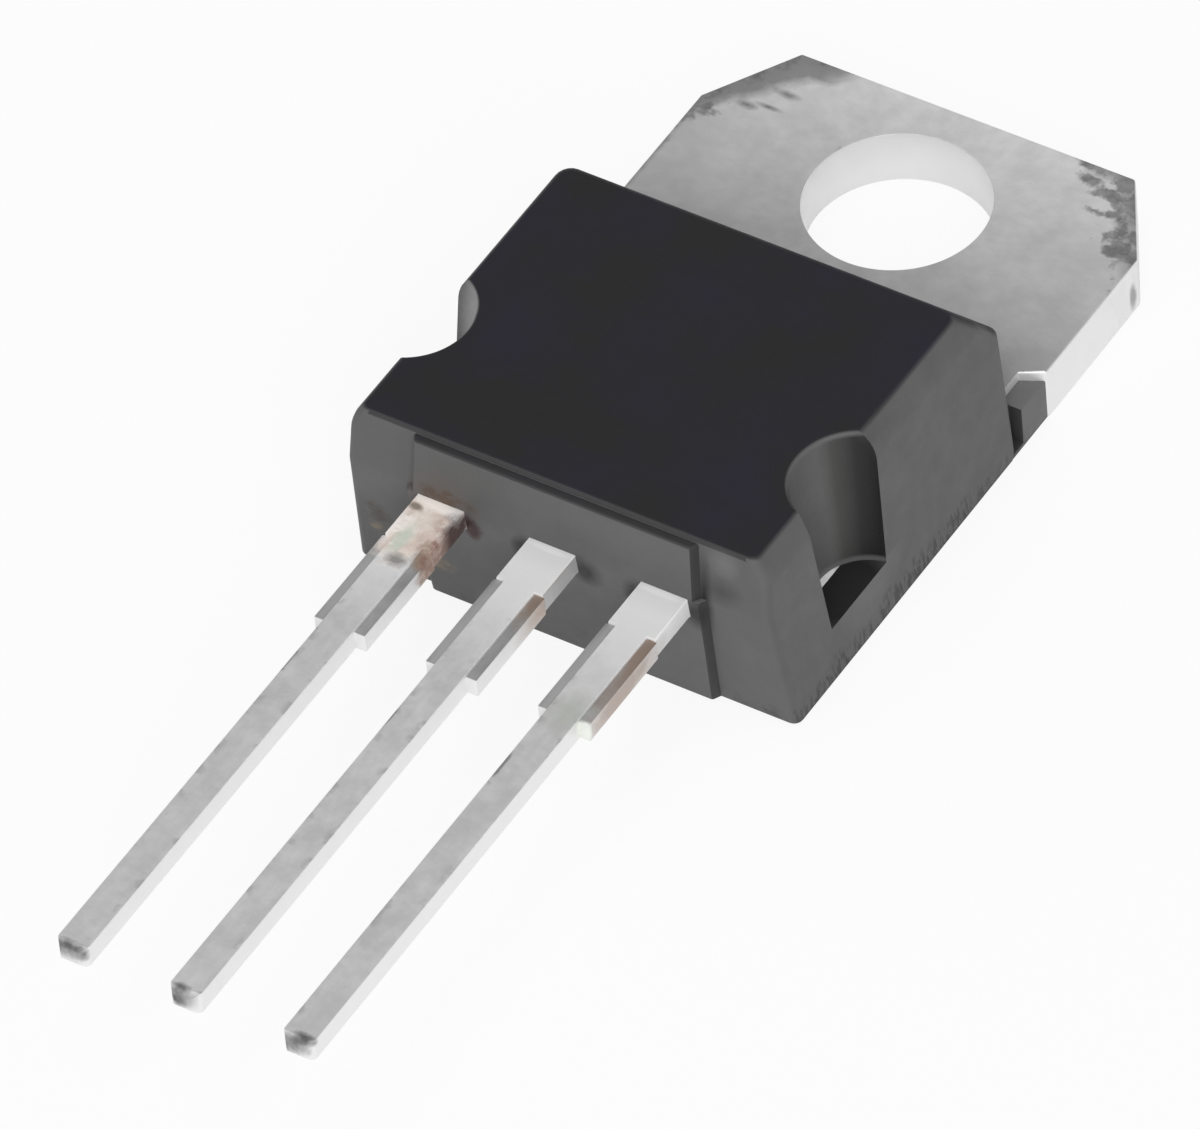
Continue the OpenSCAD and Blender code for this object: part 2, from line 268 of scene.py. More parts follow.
# %% Helpers that build node trees
def new_group(name, inputs, outputs):
    """An empty shader group with named sockets. Returns the group and its input and output nodes."""
    group = bpy.data.node_groups.new(name, "ShaderNodeTree")
    for label, kind, value in inputs:
        socket = group.interface.new_socket(label, in_out="INPUT", socket_type=kind)
        socket.default_value = value
    for label, kind in outputs:
        group.interface.new_socket(label, in_out="OUTPUT", socket_type=kind)
    return group, group.nodes.new("NodeGroupInput"), group.nodes.new("NodeGroupOutput")


def feed(tree, socket, value):
    """Wires a socket to another, or sets its number, vector or colour."""
    if isinstance(value, bpy.types.NodeSocket):
        tree.links.new(value, socket)
    else:
        socket.default_value = value


def calculate(tree, operation, *values, clamp=False):
    """A Math node with its inputs filled. Returns its output."""
    node = tree.nodes.new("ShaderNodeMath")
    node.operation, node.use_clamp = operation, clamp
    for socket, value in zip(node.inputs, values):
        feed(tree, socket, value)
    return node.outputs[0]


def vector_math(tree, operation, *values):
    """A Vector Math node with its first inputs filled. Returns its vector output."""
    node = tree.nodes.new("ShaderNodeVectorMath")
    node.operation = operation
    for socket, value in zip(node.inputs, values):
        feed(tree, socket, value)
    return node.outputs["Value" if operation in ("LENGTH", "DOT_PRODUCT") else "Vector"]


def remap(tree, value, low_in, high_in, low_out=0.0, high_out=1.0):
    """A Map Range node. Values outside the range are held at its ends."""
    node = tree.nodes.new("ShaderNodeMapRange")
    for socket, number in zip(node.inputs, (value, low_in, high_in, low_out, high_out)):
        feed(tree, socket, number)
    return node.outputs[0]


def noise(tree, coordinates, scale, detail=3.0, roughness=0.5):
    """A Noise Texture. Returns its grey output, which stays near 0.5."""
    node = tree.nodes.new("ShaderNodeTexNoise")
    feed(tree, node.inputs["Vector"], coordinates)
    feed(tree, node.inputs["Scale"], scale)
    feed(tree, node.inputs["Detail"], detail)
    feed(tree, node.inputs["Roughness"], roughness)
    return node.outputs["Fac"]


def place(tree, group, **values):
    """Puts a group into a tree, fills its inputs by name and returns its output."""
    node = tree.nodes.new("ShaderNodeGroup")
    node.node_tree = group
    node.label = group.name
    for name, value in values.items():
        feed(tree, node.inputs[name], value)
    return node.outputs[0]


def paint(tree, under, over, mask, blend="MIX"):
    """Lays one colour over another where the mask is 1. A colour is three numbers or a socket."""
    node = tree.nodes.new("ShaderNodeMix")
    node.data_type, node.blend_type = "RGBA", blend
    feed(tree, node.inputs[0], mask)
    for socket, colour in ((node.inputs[6], under), (node.inputs[7], over)):
        feed(tree, socket, (*colour, 1) if isinstance(colour, tuple) else colour)
    return node.outputs[2]


print("node helpers ready")

# %% [markdown]
# The first shared effect is the patch: a stain, a tarnished spot or a smear of flux with a ragged edge. It is a
# stretched ball round a centre. Its distance is disturbed with noise, and a soft threshold makes the mask. One
# group then serves every stain on the part, each with its own centre, reach and raggedness.

# %% Node group: patch
patch, given, result = new_group(
    "patch",
    [("coordinates", "NodeSocketVector", (0, 0, 0)), ("centre", "NodeSocketVector", (0, 0, 0)),
     ("reach", "NodeSocketVector", (1, 1, 1)), ("ragged", "NodeSocketFloat", 0.8),
     ("grain", "NodeSocketFloat", 3.0), ("softness", "NodeSocketFloat", 0.5)],
    [("mask", "NodeSocketFloat")],
)
offset = vector_math(patch, "SUBTRACT", given.outputs["coordinates"], given.outputs["centre"])
away = vector_math(patch, "LENGTH", vector_math(patch, "DIVIDE", offset, given.outputs["reach"]))
wobble = calculate(patch, "SUBTRACT", noise(patch, given.outputs["coordinates"], given.outputs["grain"], 4.0, 0.6), 0.5)
away = calculate(patch, "ADD", away, calculate(patch, "MULTIPLY", wobble, given.outputs["ragged"]))
inner = calculate(patch, "SUBTRACT", 1.0, given.outputs["softness"])
patch.links.new(remap(patch, away, 1.0, inner), result.inputs["mask"])
print("patch:", [socket.name for socket in patch.interface.items_tree])

# %% [markdown]
# The second shared effect is the mottle: a slow change from place to place that keeps a surface from looking
# printed. Stretching its coordinates along one axis turns the same noise into drawn or rolled streaks, so one
# group gives the cloudy tin on the tab and the lengthwise lines on the leads.

# %% Node group: mottle
mottle, given, result = new_group(
    "mottle",
    [("coordinates", "NodeSocketVector", (0, 0, 0)), ("stretch", "NodeSocketVector", (1, 1, 1)),
     ("contrast", "NodeSocketFloat", 0.2), ("detail", "NodeSocketFloat", 4.0)],
    [("value", "NodeSocketFloat")],
)
stretched = vector_math(mottle, "MULTIPLY", given.outputs["coordinates"], given.outputs["stretch"])
cloud = noise(mottle, stretched, 1.0, given.outputs["detail"], 0.6)
darkest = calculate(mottle, "SUBTRACT", 0.5, given.outputs["contrast"])
lightest = calculate(mottle, "ADD", 0.5, given.outputs["contrast"])
mottle.links.new(remap(mottle, cloud, darkest, lightest), result.inputs["value"])
print("mottle:", [socket.name for socket in mottle.interface.items_tree])

# %% [markdown]
# Every finish starts with the same five nodes: an output, a Principled shader, the object coordinates in
# millimetres, and a bump. The bump takes its height from the finish's own grain. Its distance is a few hundredths
# of a millimetre, the true depth of moulding grain, so it looks the same at any zoom.

# %% Helpers that start a finish and give it its bump
def new_finish(name, **settings):
    """A new material with a Principled shader. Returns it, its tree, the shader and the coordinates."""
    material = bpy.data.materials.new(name)
    material.use_nodes = True
    tree = material.node_tree
    tree.nodes.clear()
    shader = tree.nodes.new("ShaderNodeBsdfPrincipled")
    tree.links.new(shader.outputs["BSDF"], tree.nodes.new("ShaderNodeOutputMaterial").inputs["Surface"])
    for label, value in settings.items():
        shader.inputs[label.replace("_", " ")].default_value = value
    where = tree.nodes.new("ShaderNodeTexCoord")
    scale = tree.nodes.new("ShaderNodeVectorMath")
    scale.operation = "SCALE"
    scale.inputs["Scale"].default_value = 1 / MM
    tree.links.new(where.outputs["Object"], scale.inputs[0])
    return material, tree, shader, scale.outputs[0]


def add_bump(tree, shader, height, strength, depth_mm):
    """Feeds a height into a Bump node and the node into the shader."""
    bump = tree.nodes.new("ShaderNodeBump")
    bump.inputs["Strength"].default_value = strength
    bump.inputs["Distance"].default_value = depth_mm * MM
    feed(tree, bump.inputs["Height"], height)
    tree.links.new(bump.outputs["Normal"], shader.inputs["Normal"])


def face_value(tree, name):
    """Reads a value that was stored on the faces."""
    node = tree.nodes.new("ShaderNodeAttribute")
    node.attribute_type, node.attribute_name = "GEOMETRY", name
    return node.outputs["Fac"]


def direction(tree, axis):
    """How far the surface looks along X, Y or Z of the object, from -1 to 1."""
    split = tree.nodes.new("ShaderNodeSeparateXYZ")
    tree.links.new(tree.nodes.new("ShaderNodeTexCoord").outputs["Normal"], split.inputs[0])
    return split.outputs[axis]


def position(tree, mm, axis):
    """The X, Y or Z of a point in millimetres."""
    split = tree.nodes.new("ShaderNodeSeparateXYZ")
    tree.links.new(mm, split.inputs[0])
    return split.outputs[axis]


def times(tree, *values):
    """The product of values. For masks it is 1 only where all of them are."""
    result = values[0]
    for value in values[1:]:
        result = calculate(tree, "MULTIPLY", result, value)
    return result


def grey(value):
    """A colour without a hue."""
    return (value, value, value)


def patch_at(tree, mm, centre, reach, **look):
    """A patch at a place on the part. What look leaves out keeps the group's own value."""
    return place(tree, patch, coordinates=mm, centre=centre, reach=reach, **look)


def stain(tree, mm, colour, tone, centre, reach, strength=1.0, **look):
    """Paints a patch of one tone over a colour."""
    return paint(tree, colour, tone, times(tree, patch_at(tree, mm, centre, reach, **look), strength))


print("finish helpers ready")

# %% [markdown]
# The resin is an epoxy filled with glass powder. Its top face comes from a polished part of the mould and stays
# deep black with a faint blue cast, and so does the slope on the tab side. The drafted walls come from a
# spark-eroded part of the mould, whose fine grain scatters light, so they look grey. Much of that grey is painted
# light: the walls are painted far lighter than the top. The colour is therefore mixed by how far the surface looks
# upwards, and the change follows the rounding of the edges.

# %% Finish: moulded resin, clean
slope_normal = (0.0, 0.766, 0.643)
resin, tree, shader, mm = new_finish("moulded_resin", Specular_IOR_Level=0.3, IOR=1.5)
cloud = place(tree, mottle, coordinates=mm, stretch=(0.5, 0.5, 0.5), contrast=0.14)
top_colour = paint(tree, (0.0094, 0.0094, 0.0096), (0.0104, 0.0088, 0.0190), cloud)
wall_cloud = place(tree, mottle, coordinates=mm, stretch=(1.1, 1.1, 1.1), contrast=0.2)
wall_colour = paint(tree, grey(0.090), (0.106, 0.106, 0.105), wall_cloud)
# Faces that look towards the leads are painted a little lighter: painted light.
faces_leads = remap(tree, direction(tree, "Y"), -0.60, -0.95)
wall_colour = paint(tree, wall_colour, grey(0.122), times(tree, faces_leads, 0.6))
faces_up = times(tree, remap(tree, direction(tree, "Z"), 0.62, 0.94), remap(tree, position(tree, mm, "Z"), 3.9, 4.2))
from_slope = vector_math(tree, "DOT_PRODUCT", mm, slope_normal)
back_rim = times(tree, remap(tree, from_slope, -1.02, -0.90), remap(tree, position(tree, mm, "Z"), 3.75, 4.05))
slope = times(tree, remap(tree, direction(tree, "Y"), 0.45, 0.70), remap(tree, position(tree, mm, "Z"), 3.15, 3.35))
# The top, its back rim and the slope take the dark colour and the walls the grey one: partly the real polished and
# eroded finishes, partly painted light by the way each face looks.
polish_and_painted_light = calculate(tree, "MAXIMUM", faces_up, calculate(tree, "MAXIMUM", back_rim, slope))
colour = paint(tree, wall_colour, top_colour, polish_and_painted_light)
# The ears are painted lighter on their tops and right faces: a painted highlight.
ears = patch_at(tree, mm, (4.8, body_back + 0.62, 0.6), (0.75, 0.75, 0.95), ragged=0.1, softness=0.2)
colour = paint(tree, colour, grey(0.135), times(tree, ears, remap(tree, direction(tree, "X"), -0.5, 0.2)))
# Painted shade in the crevices that the mesh marks on its faces.
crevice_shade = face_value(tree, "special")
colour = paint(tree, colour, (0.024, 0.024, 0.025), crevice_shade)
print("resin nodes so far:", len(tree.nodes))

# %% [markdown]
# Light and shade are painted next, as smooth patches. On the lead face there are painted highlights near the top
# and at the left end, and painted shade in a soft hollow and in the crease beside the plateau. The clamp-pin
# pockets get painted shade, darkest on the side of a pocket that looks towards the leads and on the floor, painted
# highlights along their rims, and a painted highlight on the wall of the left pocket.

# %% Finish: moulded resin, painted light and shade on the lead face and in the pockets
# Painted highlights and painted shade on the lead face.
for centre, reach, tone, strength in (
    ((2.2, -12.8, 4.15), (4.4, 0.4, 0.75), grey(0.142), 0.65),
    ((3.80, -12.5, 4.15), (0.42, 0.5, 0.42), grey(0.165), 0.9),
    ((3.75, -12.6, 3.40), (0.55, 0.5, 0.40), grey(0.058), 0.8),
    ((3.35, -12.6, 3.10), (0.21, 0.5, 1.25), grey(0.022), 1.0),
    ((-4.6, -12.6, 2.4), (1.0, 0.5, 1.8), grey(0.130), 0.6),
):
    painted_light_patch = patch_at(tree, mm, centre, reach, ragged=0.5, grain=1.2, softness=0.9)
    painted_light_patch = times(tree, painted_light_patch, faces_leads, strength)
    colour = paint(tree, colour, tone, times(tree, painted_light_patch, calculate(tree, "SUBTRACT", 1.0, crevice_shade)))

# Painted shade on the pocket walls, darker as a wall turns away from the right.
in_pocket = patch_at(tree, mm, (4.3, -9.3, 2.4), (1.1, 1.9, 3.2), ragged=0.1, softness=0.3)
in_pocket = times(tree, in_pocket, calculate(tree, "SUBTRACT", 1.0, polish_and_painted_light))
turned = direction(tree, "X")
colour = paint(tree, colour, (0.060, 0.060, 0.058), times(tree, in_pocket, remap(tree, turned, 0.92, 0.80), 0.9))
colour = paint(tree, colour, grey(0.022), times(tree, in_pocket, remap(tree, turned, 0.85, 0.55)))
colour = paint(tree, colour, grey(0.010), times(tree, in_pocket, remap(tree, turned, 0.60, 0.25)))
# Painted highlights along the upper and lower rims of the pockets.
rims = calculate(tree, "MAXIMUM", remap(tree, position(tree, mm, "Z"), 4.36, 4.44),
                 remap(tree, position(tree, mm, "Z"), 1.42, 1.34))
colour = paint(tree, colour, (0.130, 0.130, 0.134), times(tree, in_pocket, rims, 0.8))
# Painted shade on the floor of the pocket.
pocket_floor = patch_at(tree, mm, (4.5, -9.7, 1.27), (1.6, 1.6, 0.25), ragged=0.1)
pocket_floor = times(tree, pocket_floor, remap(tree, direction(tree, "Z"), 0.6, 0.9))
colour = paint(tree, colour, (0.0135, 0.0135, 0.0140), pocket_floor)
# A painted highlight on the wall of the left pocket.
left_pocket = patch_at(tree, mm, (-4.3, -8.9, 3.2), (0.8, 0.6, 2.4), ragged=0.2)
left_pocket = times(tree, left_pocket, calculate(tree, "SUBTRACT", 1.0, polish_and_painted_light))
colour = paint(tree, colour, grey(0.32), left_pocket)
print("resin nodes so far:", len(tree.nodes))

# %% [markdown]
# The rest is dirt, damage and painted shade: scuffs along the lower edge on the right, painted shade along the
# foot of the right wall, painted shadows where the second and third leads come out, and the first lead's
# corrosion, which stained the resin brown, left crumbs of crust on it and a dark red spot beside the lead, a red
# stain darkened with painted shadow.

# %% Finish: moulded resin, dirt, damage and painted shade
scuffed = patch_at(tree, mm, (5.0, -8.4, 0.1), (2.6, 5.2, 0.50), ragged=1.5, grain=1.3)
streaks = place(tree, mottle, coordinates=mm, stretch=(3.0, 9.0, 2.2), contrast=0.12, detail=5.0)
dots = noise(tree, mm, 7.0, 3.0, 0.6)
scuffs = remap(tree, calculate(tree, "ADD", streaks, times(tree, dots, 0.6)), 0.72, 1.02)
colour = paint(tree, colour, (0.034, 0.034, 0.035), times(tree, scuffs, scuffed, 0.8))
# Painted shade along the foot of the right wall.
side_foot = times(tree, remap(tree, position(tree, mm, "Z"), 0.10, 0.02), remap(tree, direction(tree, "X"), 0.4, 0.8))
colour = paint(tree, colour, (0.035, 0.035, 0.036), times(tree, side_foot, 0.8))
# Painted shadows beside the roots of the second and third leads.
for lead_x in (0, pitch):
    for side_x, side_z, wide_by, high_by in ((0.70, 2.64, 0.44, 0.50), (-0.72, 2.50, 0.32, 0.56)):
        colour = stain(tree, mm, colour, (0.014, 0.014, 0.015), (lead_x + side_x, lead_face, side_z),
                       (wide_by, 0.3, high_by), 0.9, ragged=0.6, grain=3.0, softness=0.7)
colour = stain(tree, mm, colour, (0.128, 0.104, 0.092), (-2.60, lead_face, 3.1), (1.0, 0.4, 0.85), 0.8,
               ragged=1.0, grain=1.6, softness=0.9)
crumbs = remap(tree, noise(tree, mm, 4.2, 4.0, 0.7), 0.43, 0.54)
for centre, reach, tone in (
    ((-2.45, -12.8, 3.20), (0.75, 0.3, 0.26), (0.105, 0.076, 0.060)),
    ((-4.30, -12.8, 1.50), (0.55, 0.5, 0.65), (0.070, 0.052, 0.038)),
    ((-4.45, -12.8, 1.20), (0.36, 0.5, 0.34), (0.300, 0.240, 0.170)),
    ((-2.80, -12.8, 1.00), (0.55, 0.3, 0.40), (0.260, 0.200, 0.140)),
):
    near = patch_at(tree, mm, centre, reach, ragged=1.0, grain=3.0, softness=0.45)
    colour = paint(tree, colour, tone, times(tree, near, crumbs))
# A dark red spot beside the first lead: a red stain darkened with painted shadow.
red_stain_and_shadow = (0.040, 0.018, 0.018)
colour = stain(tree, mm, colour, red_stain_and_shadow, (-1.90, lead_face, 2.62), (0.26, 0.3, 0.42), ragged=0.8, grain=3.4)
tree.links.new(colour, shader.inputs["Base Color"])

gloss = place(tree, mottle, coordinates=mm, stretch=(2.5, 2.5, 2.5), contrast=0.25)
tree.links.new(remap(tree, gloss, 0.0, 1.0, 0.5, 0.62), shader.inputs["Roughness"])
grain = calculate(tree, "ADD", noise(tree, mm, 22.0, 2.0), times(tree, scuffs, scuffed, -0.8))
add_bump(tree, shader, grain, 0.3, 0.02)
print("resin nodes:", len(tree.nodes))

# %% [markdown]
# Tin plating isn't a mirror. It is a thin matt layer that clouds as it ages, and fingers, flux and heat stain it.
# The tab is brightest at its free end and greyer towards the body. Matt tin scatters much of its light, so the
# shader is only partly metallic. The faces that don't look up are painted a light grey, a painted reflection of the
# white floor. A sliver of the pad shows at the bottom of the pocket, and a painted glint makes it bright.

# %% Finish: tin on the tab
tab_tin, tree, shader, mm = new_finish("tab_tin")
cloud = place(tree, mottle, coordinates=mm, stretch=(1.1, 1.1, 1.1), contrast=0.16, detail=6.0)
fine = place(tree, mottle, coordinates=mm, stretch=(4.5, 4.5, 4.5), contrast=0.16, detail=4.0)
across, along = position(tree, mm, "X"), position(tree, mm, "Y")
colour = paint(tree, grey(0.33), grey(0.82), remap(tree, along, -4.8, 2.7))
colour = paint(tree, colour, grey(0.91), cloud, "MULTIPLY")
colour = paint(tree, colour, grey(0.94), fine, "MULTIPLY")
# The tab is darker towards the body on the right.
darker_near_body = patch_at(tree, mm, (3.9, -3.6, 1.27), (2.4, 1.7, 1.0), ragged=0.6, grain=0.8, softness=0.9)
colour = paint(tree, colour, grey(0.76), darker_near_body, "MULTIPLY")
# Faces that don't look up are painted a light grey: a painted reflection of the white floor.
face_up = remap(tree, direction(tree, "Z"), 0.5, 0.9)
colour = paint(tree, grey(0.84), colour, face_up)
print("tab tin nodes so far:", len(tree.nodes))

# %% [markdown]
# A smoky stain follows the two cut corners, where the plating is thinnest, and reaches inwards in fingers. So the
# first value is a distance: how far a point lies from the cut edge, or from the outer part of the end. A cloudy
# noise is compared with that distance. Close to the edge almost all of it passes, and a millimetre away only its
# peaks do. The left corner also has an even grey band and three loose dabs. In the right corner soft patches are
# added to a noise and the sum is cut at a threshold, so that neighbouring patches flow together like one stain.

# %% Finish: stains on the tab
sideways = calculate(tree, "ABSOLUTE", across)
outwards = Vector((corner_l, corner_w)).normalized()
cut_at = outwards.x * tab_half + outwards.y * (tab_end - corner_l)
reached = calculate(tree, "ADD", times(tree, sideways, outwards.x), times(tree, along, outwards.y))
from_cut = calculate(tree, "SUBTRACT", cut_at, reached)
from_end = calculate(tree, "ADD", times(tree, calculate(tree, "SUBTRACT", tab_end, along), 1.3),
                     remap(tree, sideways, 2.9, 2.0, 0.0, 1.2))
inwards = calculate(tree, "MINIMUM", from_cut, from_end)
fingers = noise(tree, mm, 1.7, 4.0, 0.55)
smoky = remap(tree, calculate(tree, "ADD", inwards, times(tree, fingers, 0.9)), 0.90, 0.55)
colour = paint(tree, colour, grey(0.38), times(tree, smoky, face_up, 0.8))
band_edge = calculate(tree, "SUBTRACT", calculate(tree, "ADD", inwards, times(tree, fingers, 0.5)),
                      remap(tree, across, -4.9, -3.4, 0.0, 0.42))
band = times(tree, remap(tree, band_edge, 0.70, 0.42), remap(tree, across, -2.4, -3.2), 0.9)
colour = paint(tree, colour, grey(0.27), times(tree, band, face_up))
stained = remap(tree, calculate(tree, "SUBTRACT", fingers, times(tree, inwards, 0.32)), 0.38, 0.48)
spread = times(tree, calculate(tree, "SUBTRACT", noise(tree, mm, 3.2, 4.0, 0.6), 0.5), 2.2)
for x, y, reach_x, reach_y in (
    (3.66, 1.60, 0.66, 0.20), (3.08, 2.36, 0.48, 0.24), (3.45, 2.14, 0.52, 0.24), (3.84, 2.12, 0.32, 0.36),
    (4.04, 1.86, 0.28, 0.32), (4.34, 1.46, 0.30, 0.42), (4.20, 1.12, 0.24, 0.22), (4.50, 1.00, 0.40, 0.44),
    (4.42, 0.70, 0.28, 0.22), (4.78, 0.78, 0.28, 0.40), (-4.74, 0.56, 0.40, 0.34),
):
    soft = patch_at(tree, mm, (x, y, tab_t), (reach_x, reach_y, 0.4), ragged=0.0, softness=1.0)
    spread = calculate(tree, "ADD", spread, soft)
stained = calculate(tree, "MAXIMUM", stained, remap(tree, spread, 0.42, 0.82))
for x, y, reach_x, reach_y in ((-4.08, 0.98, 0.30, 0.14), (-3.52, 1.60, 0.38, 0.13), (-3.66, 1.12, 0.40, 0.09)):
    dab = patch_at(tree, mm, (x, y, tab_t), (reach_x, reach_y, 0.4), ragged=0.7, grain=2.6, softness=0.9)
    stained = calculate(tree, "MAXIMUM", stained, dab)
stain_tone = paint(tree, grey(0.31), grey(0.16), fine)
colour = paint(tree, colour, stain_tone, times(tree, stained, face_up, 0.88))
# A painted dark reflection along the rounded left edge of the tab.
left_edge = times(tree, remap(tree, across, -4.92, -5.04), face_up, remap(tree, fine, 0.0, 1.0, 0.3, 0.9))
colour = paint(tree, colour, grey(0.24), left_edge)
colour = stain(tree, mm, colour, grey(0.34), (5.05, 0.55, 0.45), (0.2, 0.16, 0.4), 0.8, ragged=0.8)
# A painted glint on the sliver of pad at the bottom of the pocket; Metallic drops there.
painted_pad_glint = patch_at(tree, mm, (4.13, -9.7, 1.27), (0.25, 0.7, 0.2), ragged=0.1)
colour = paint(tree, colour, (0.93, 0.93, 0.92), painted_pad_glint)
tree.links.new(colour, shader.inputs["Base Color"])
tree.links.new(remap(tree, painted_pad_glint, 0.0, 1.0, 0.7, 0.0), shader.inputs["Metallic"])
dull = calculate(tree, "ADD", remap(tree, cloud, 0.0, 1.0, 0.52, 0.42), times(tree, stained, 0.2))
tree.links.new(dull, shader.inputs["Roughness"])
height = calculate(tree, "ADD", noise(tree, mm, 14.0, 3.0), times(tree, stained, -0.5))
add_bump(tree, shader, height, 0.25, 0.02)
print("tab tin nodes:", len(tree.nodes))

# %% [markdown]
# The leads carry the same tin, laid on thicker and brighter, and brightest beside the body. Their faces that don't
# look up are painted a light grey, a painted reflection of the white floor. Small nicks follow the edges. The
# Ping-Pong node folds the X axis at the pitch of the leads, so one value tells how far any point lies from the
# middle line of its own lead.

# %% Finish: tin on the leads
lead_tin, tree, shader, mm = new_finish("lead_tin")
lines = place(tree, mottle, coordinates=mm, stretch=(9.0, 0.9, 9.0), contrast=0.22, detail=3.0)
cloud = place(tree, mottle, coordinates=mm, stretch=(1.8, 1.8, 1.8), contrast=0.14)
along = position(tree, mm, "Y")
from_middle = calculate(tree, "PINGPONG", position(tree, mm, "X"), pitch / 2)
colour = paint(tree, grey(0.57), grey(0.71), cloud)
colour = paint(tree, colour, grey(0.54), times(tree, lines, 0.35))
near_body = remap(tree, along, -16.4, -13.5)
colour = paint(tree, colour, grey(0.80), near_body)
nicks = times(tree, remap(tree, noise(tree, mm, 2.4, 2.0, 0.6), 0.58, 0.66), remap(tree, from_middle, 0.16, 0.33),
              remap(tree, along, -14.0, -16.0))
colour = paint(tree, colour, grey(0.36), times(tree, nicks, 0.6))
# Faces that don't look up are painted a light grey: a painted reflection of the white floor.
face_up = remap(tree, direction(tree, "Z"), 0.4, 0.9)
colour = paint(tree, grey(0.86), colour, face_up)
print("lead tin nodes so far:", len(tree.nodes))

# %% [markdown]
# A bar that tied the leads together was sheared off. The stubs that it left have dull grey tops, brown near the
# body on the right of the second and third leads, where the copper shows, and cream or brown sides there, and a
# painted highlight runs along the top edge of these two leads beside the body. The stub tops are found by the
# value stored on their faces. A nick in each lead follows, then painted shade on the upper half of each tip's end
# face and dark patches on the cut tips.

# %% Finish: sheared stubs, nicks and cut tips
stub = face_value(tree, "special")
stub_mottle = place(tree, mottle, coordinates=mm, stretch=(3.0, 1.5, 3.0), contrast=0.2)
stub_colour = paint(tree, grey(0.25), grey(0.35), stub_mottle)
for lead_x in (-pitch, 0, pitch):
    stub_colour = stain(tree, mm, stub_colour, grey(0.43), (lead_x - 0.46, -15.3, 3.0), (0.25, 1.7, 0.5), 0.8,
                        ragged=0.4)
for lead_x, reach_y, cream_y, cream_reach, cream_tone in (
    (0, 1.1, -13.7, 1.6, (0.60, 0.48, 0.41)),
    (pitch, 2.8, -15.3, 1.8, (0.42, 0.33, 0.28)),
):
    stub_colour = stain(tree, mm, stub_colour, (0.250, 0.180, 0.140), (lead_x + 0.5, root_end, 3.0),
                        (0.3, reach_y, 0.5), 0.9, ragged=0.8, grain=3.0, softness=0.7)
    cream = patch_at(tree, mm, (lead_x + stub_half, cream_y, 2.8), (0.16, cream_reach, 0.6), ragged=0.6, grain=2.5,
                     softness=0.7)
    cream = times(tree, cream, remap(tree, direction(tree, "X"), 0.5, 0.8))
    colour = paint(tree, colour, cream_tone, times(tree, cream, 0.85))
    # A painted highlight along the top edge of the root, beside the body.
    colour = stain(tree, mm, colour, grey(0.90), (lead_x, lead_face - 0.1, lead_top), (0.6, 0.09, 0.1), 0.9,
                   ragged=0.3, grain=6.0)
colour = paint(tree, colour, stub_colour, stub)
for lead_x, y in ((-2.90, -17.9), (-0.36, -18.1), (2.22, -18.2)):
    colour = stain(tree, mm, colour, grey(0.20), (lead_x, y, lead_top), (0.07, 0.5, 0.12), 0.8, ragged=1.3, grain=5.0)
# Painted shade on the upper half of each tip's end face.
tip_shade = times(tree, remap(tree, along, -25.97, -26.07), remap(tree, position(tree, mm, "Z"), 2.62, 2.92), 0.85)
colour = paint(tree, colour, grey(0.50), tip_shade)
for x, y, z, reach_x, reach_z, tone in (
    (-pitch - 0.02, -26.02, 2.94, 0.70, 0.27, 0.11),
    (-0.08, -25.95, 3.02, 0.26, 0.14, 0.14),
    (-0.16, -26.06, 2.84, 0.40, 0.22, 0.13),
    (pitch + 0.12, -25.95, 3.00, 0.40, 0.16, 0.11),
    (pitch - 0.12, -26.04, 2.84, 0.46, 0.26, 0.12),
):
    colour = stain(tree, mm, colour, grey(tone), (x, y, z), (reach_x, 0.14, reach_z), ragged=0.9, grain=4.5,
                   softness=0.7)
print("lead tin nodes so far:", len(tree.nodes))

# %% [markdown]
# Corrosion isn't metal any more, so it needs more than a colour: the same masks pull Metallic down and Roughness
# up, and a coarse noise lifts the bump into a crust. Cream, pink, white and green places keep the crust from
# looking like one round dot, and the side of the lead is red-brown, with painted shade that makes it darkest next to
# the body. A grey and green bloom lies at the end of the third lead's stub, with a painted glint on the stub's end
# face.

# %% Finish: corrosion
crust = patch_at(tree, mm, (-2.66, -13.55, 3.0), (0.95, 1.20, 0.8), ragged=1.1, grain=2.4, softness=0.4)
blotch = place(tree, mottle, coordinates=mm, stretch=(2.0, 2.0, 2.0), contrast=0.14, detail=6.0)
crust_colour = paint(tree, (0.63, 0.51, 0.45), (0.76, 0.68, 0.61), blotch)
lumps = noise(tree, mm, 3.4, 6.0, 0.65)
whiter = times(tree, remap(tree, lumps, 0.46, 0.60), remap(tree, position(tree, mm, "X"), -2.3, -2.9))
crust_colour = paint(tree, crust_colour, (0.90, 0.84, 0.79), whiter)
browner = times(tree, remap(tree, lumps, 0.48, 0.38), remap(tree, position(tree, mm, "X"), -2.5, -2.0))
crust_colour = paint(tree, crust_colour, (0.36, 0.23, 0.18), times(tree, browner, 0.85))
for centre, reach, tone, strength in (
    ((-2.50, -12.92, 3.06), (0.66, 0.17, 0.3), (0.98, 0.91, 0.84), 1.0),
    ((-3.06, -13.75, 3.00), (0.16, 0.65, 0.4), (0.88, 0.83, 0.80), 0.9),
    ((-2.92, -13.10, 3.06), (0.20, 0.12, 0.2), (0.20, 0.16, 0.12), 0.9),
    ((-2.70, -13.95, 3.06), (0.22, 0.60, 0.2), (0.54, 0.59, 0.50), 0.85),
    ((-2.02, -13.02, 3.06), (0.26, 0.20, 0.3), (0.13, 0.08, 0.06), 0.9),
):
    crust_colour = stain(tree, mm, crust_colour, tone, centre, reach, strength, ragged=0.9, grain=3.4, softness=0.6)
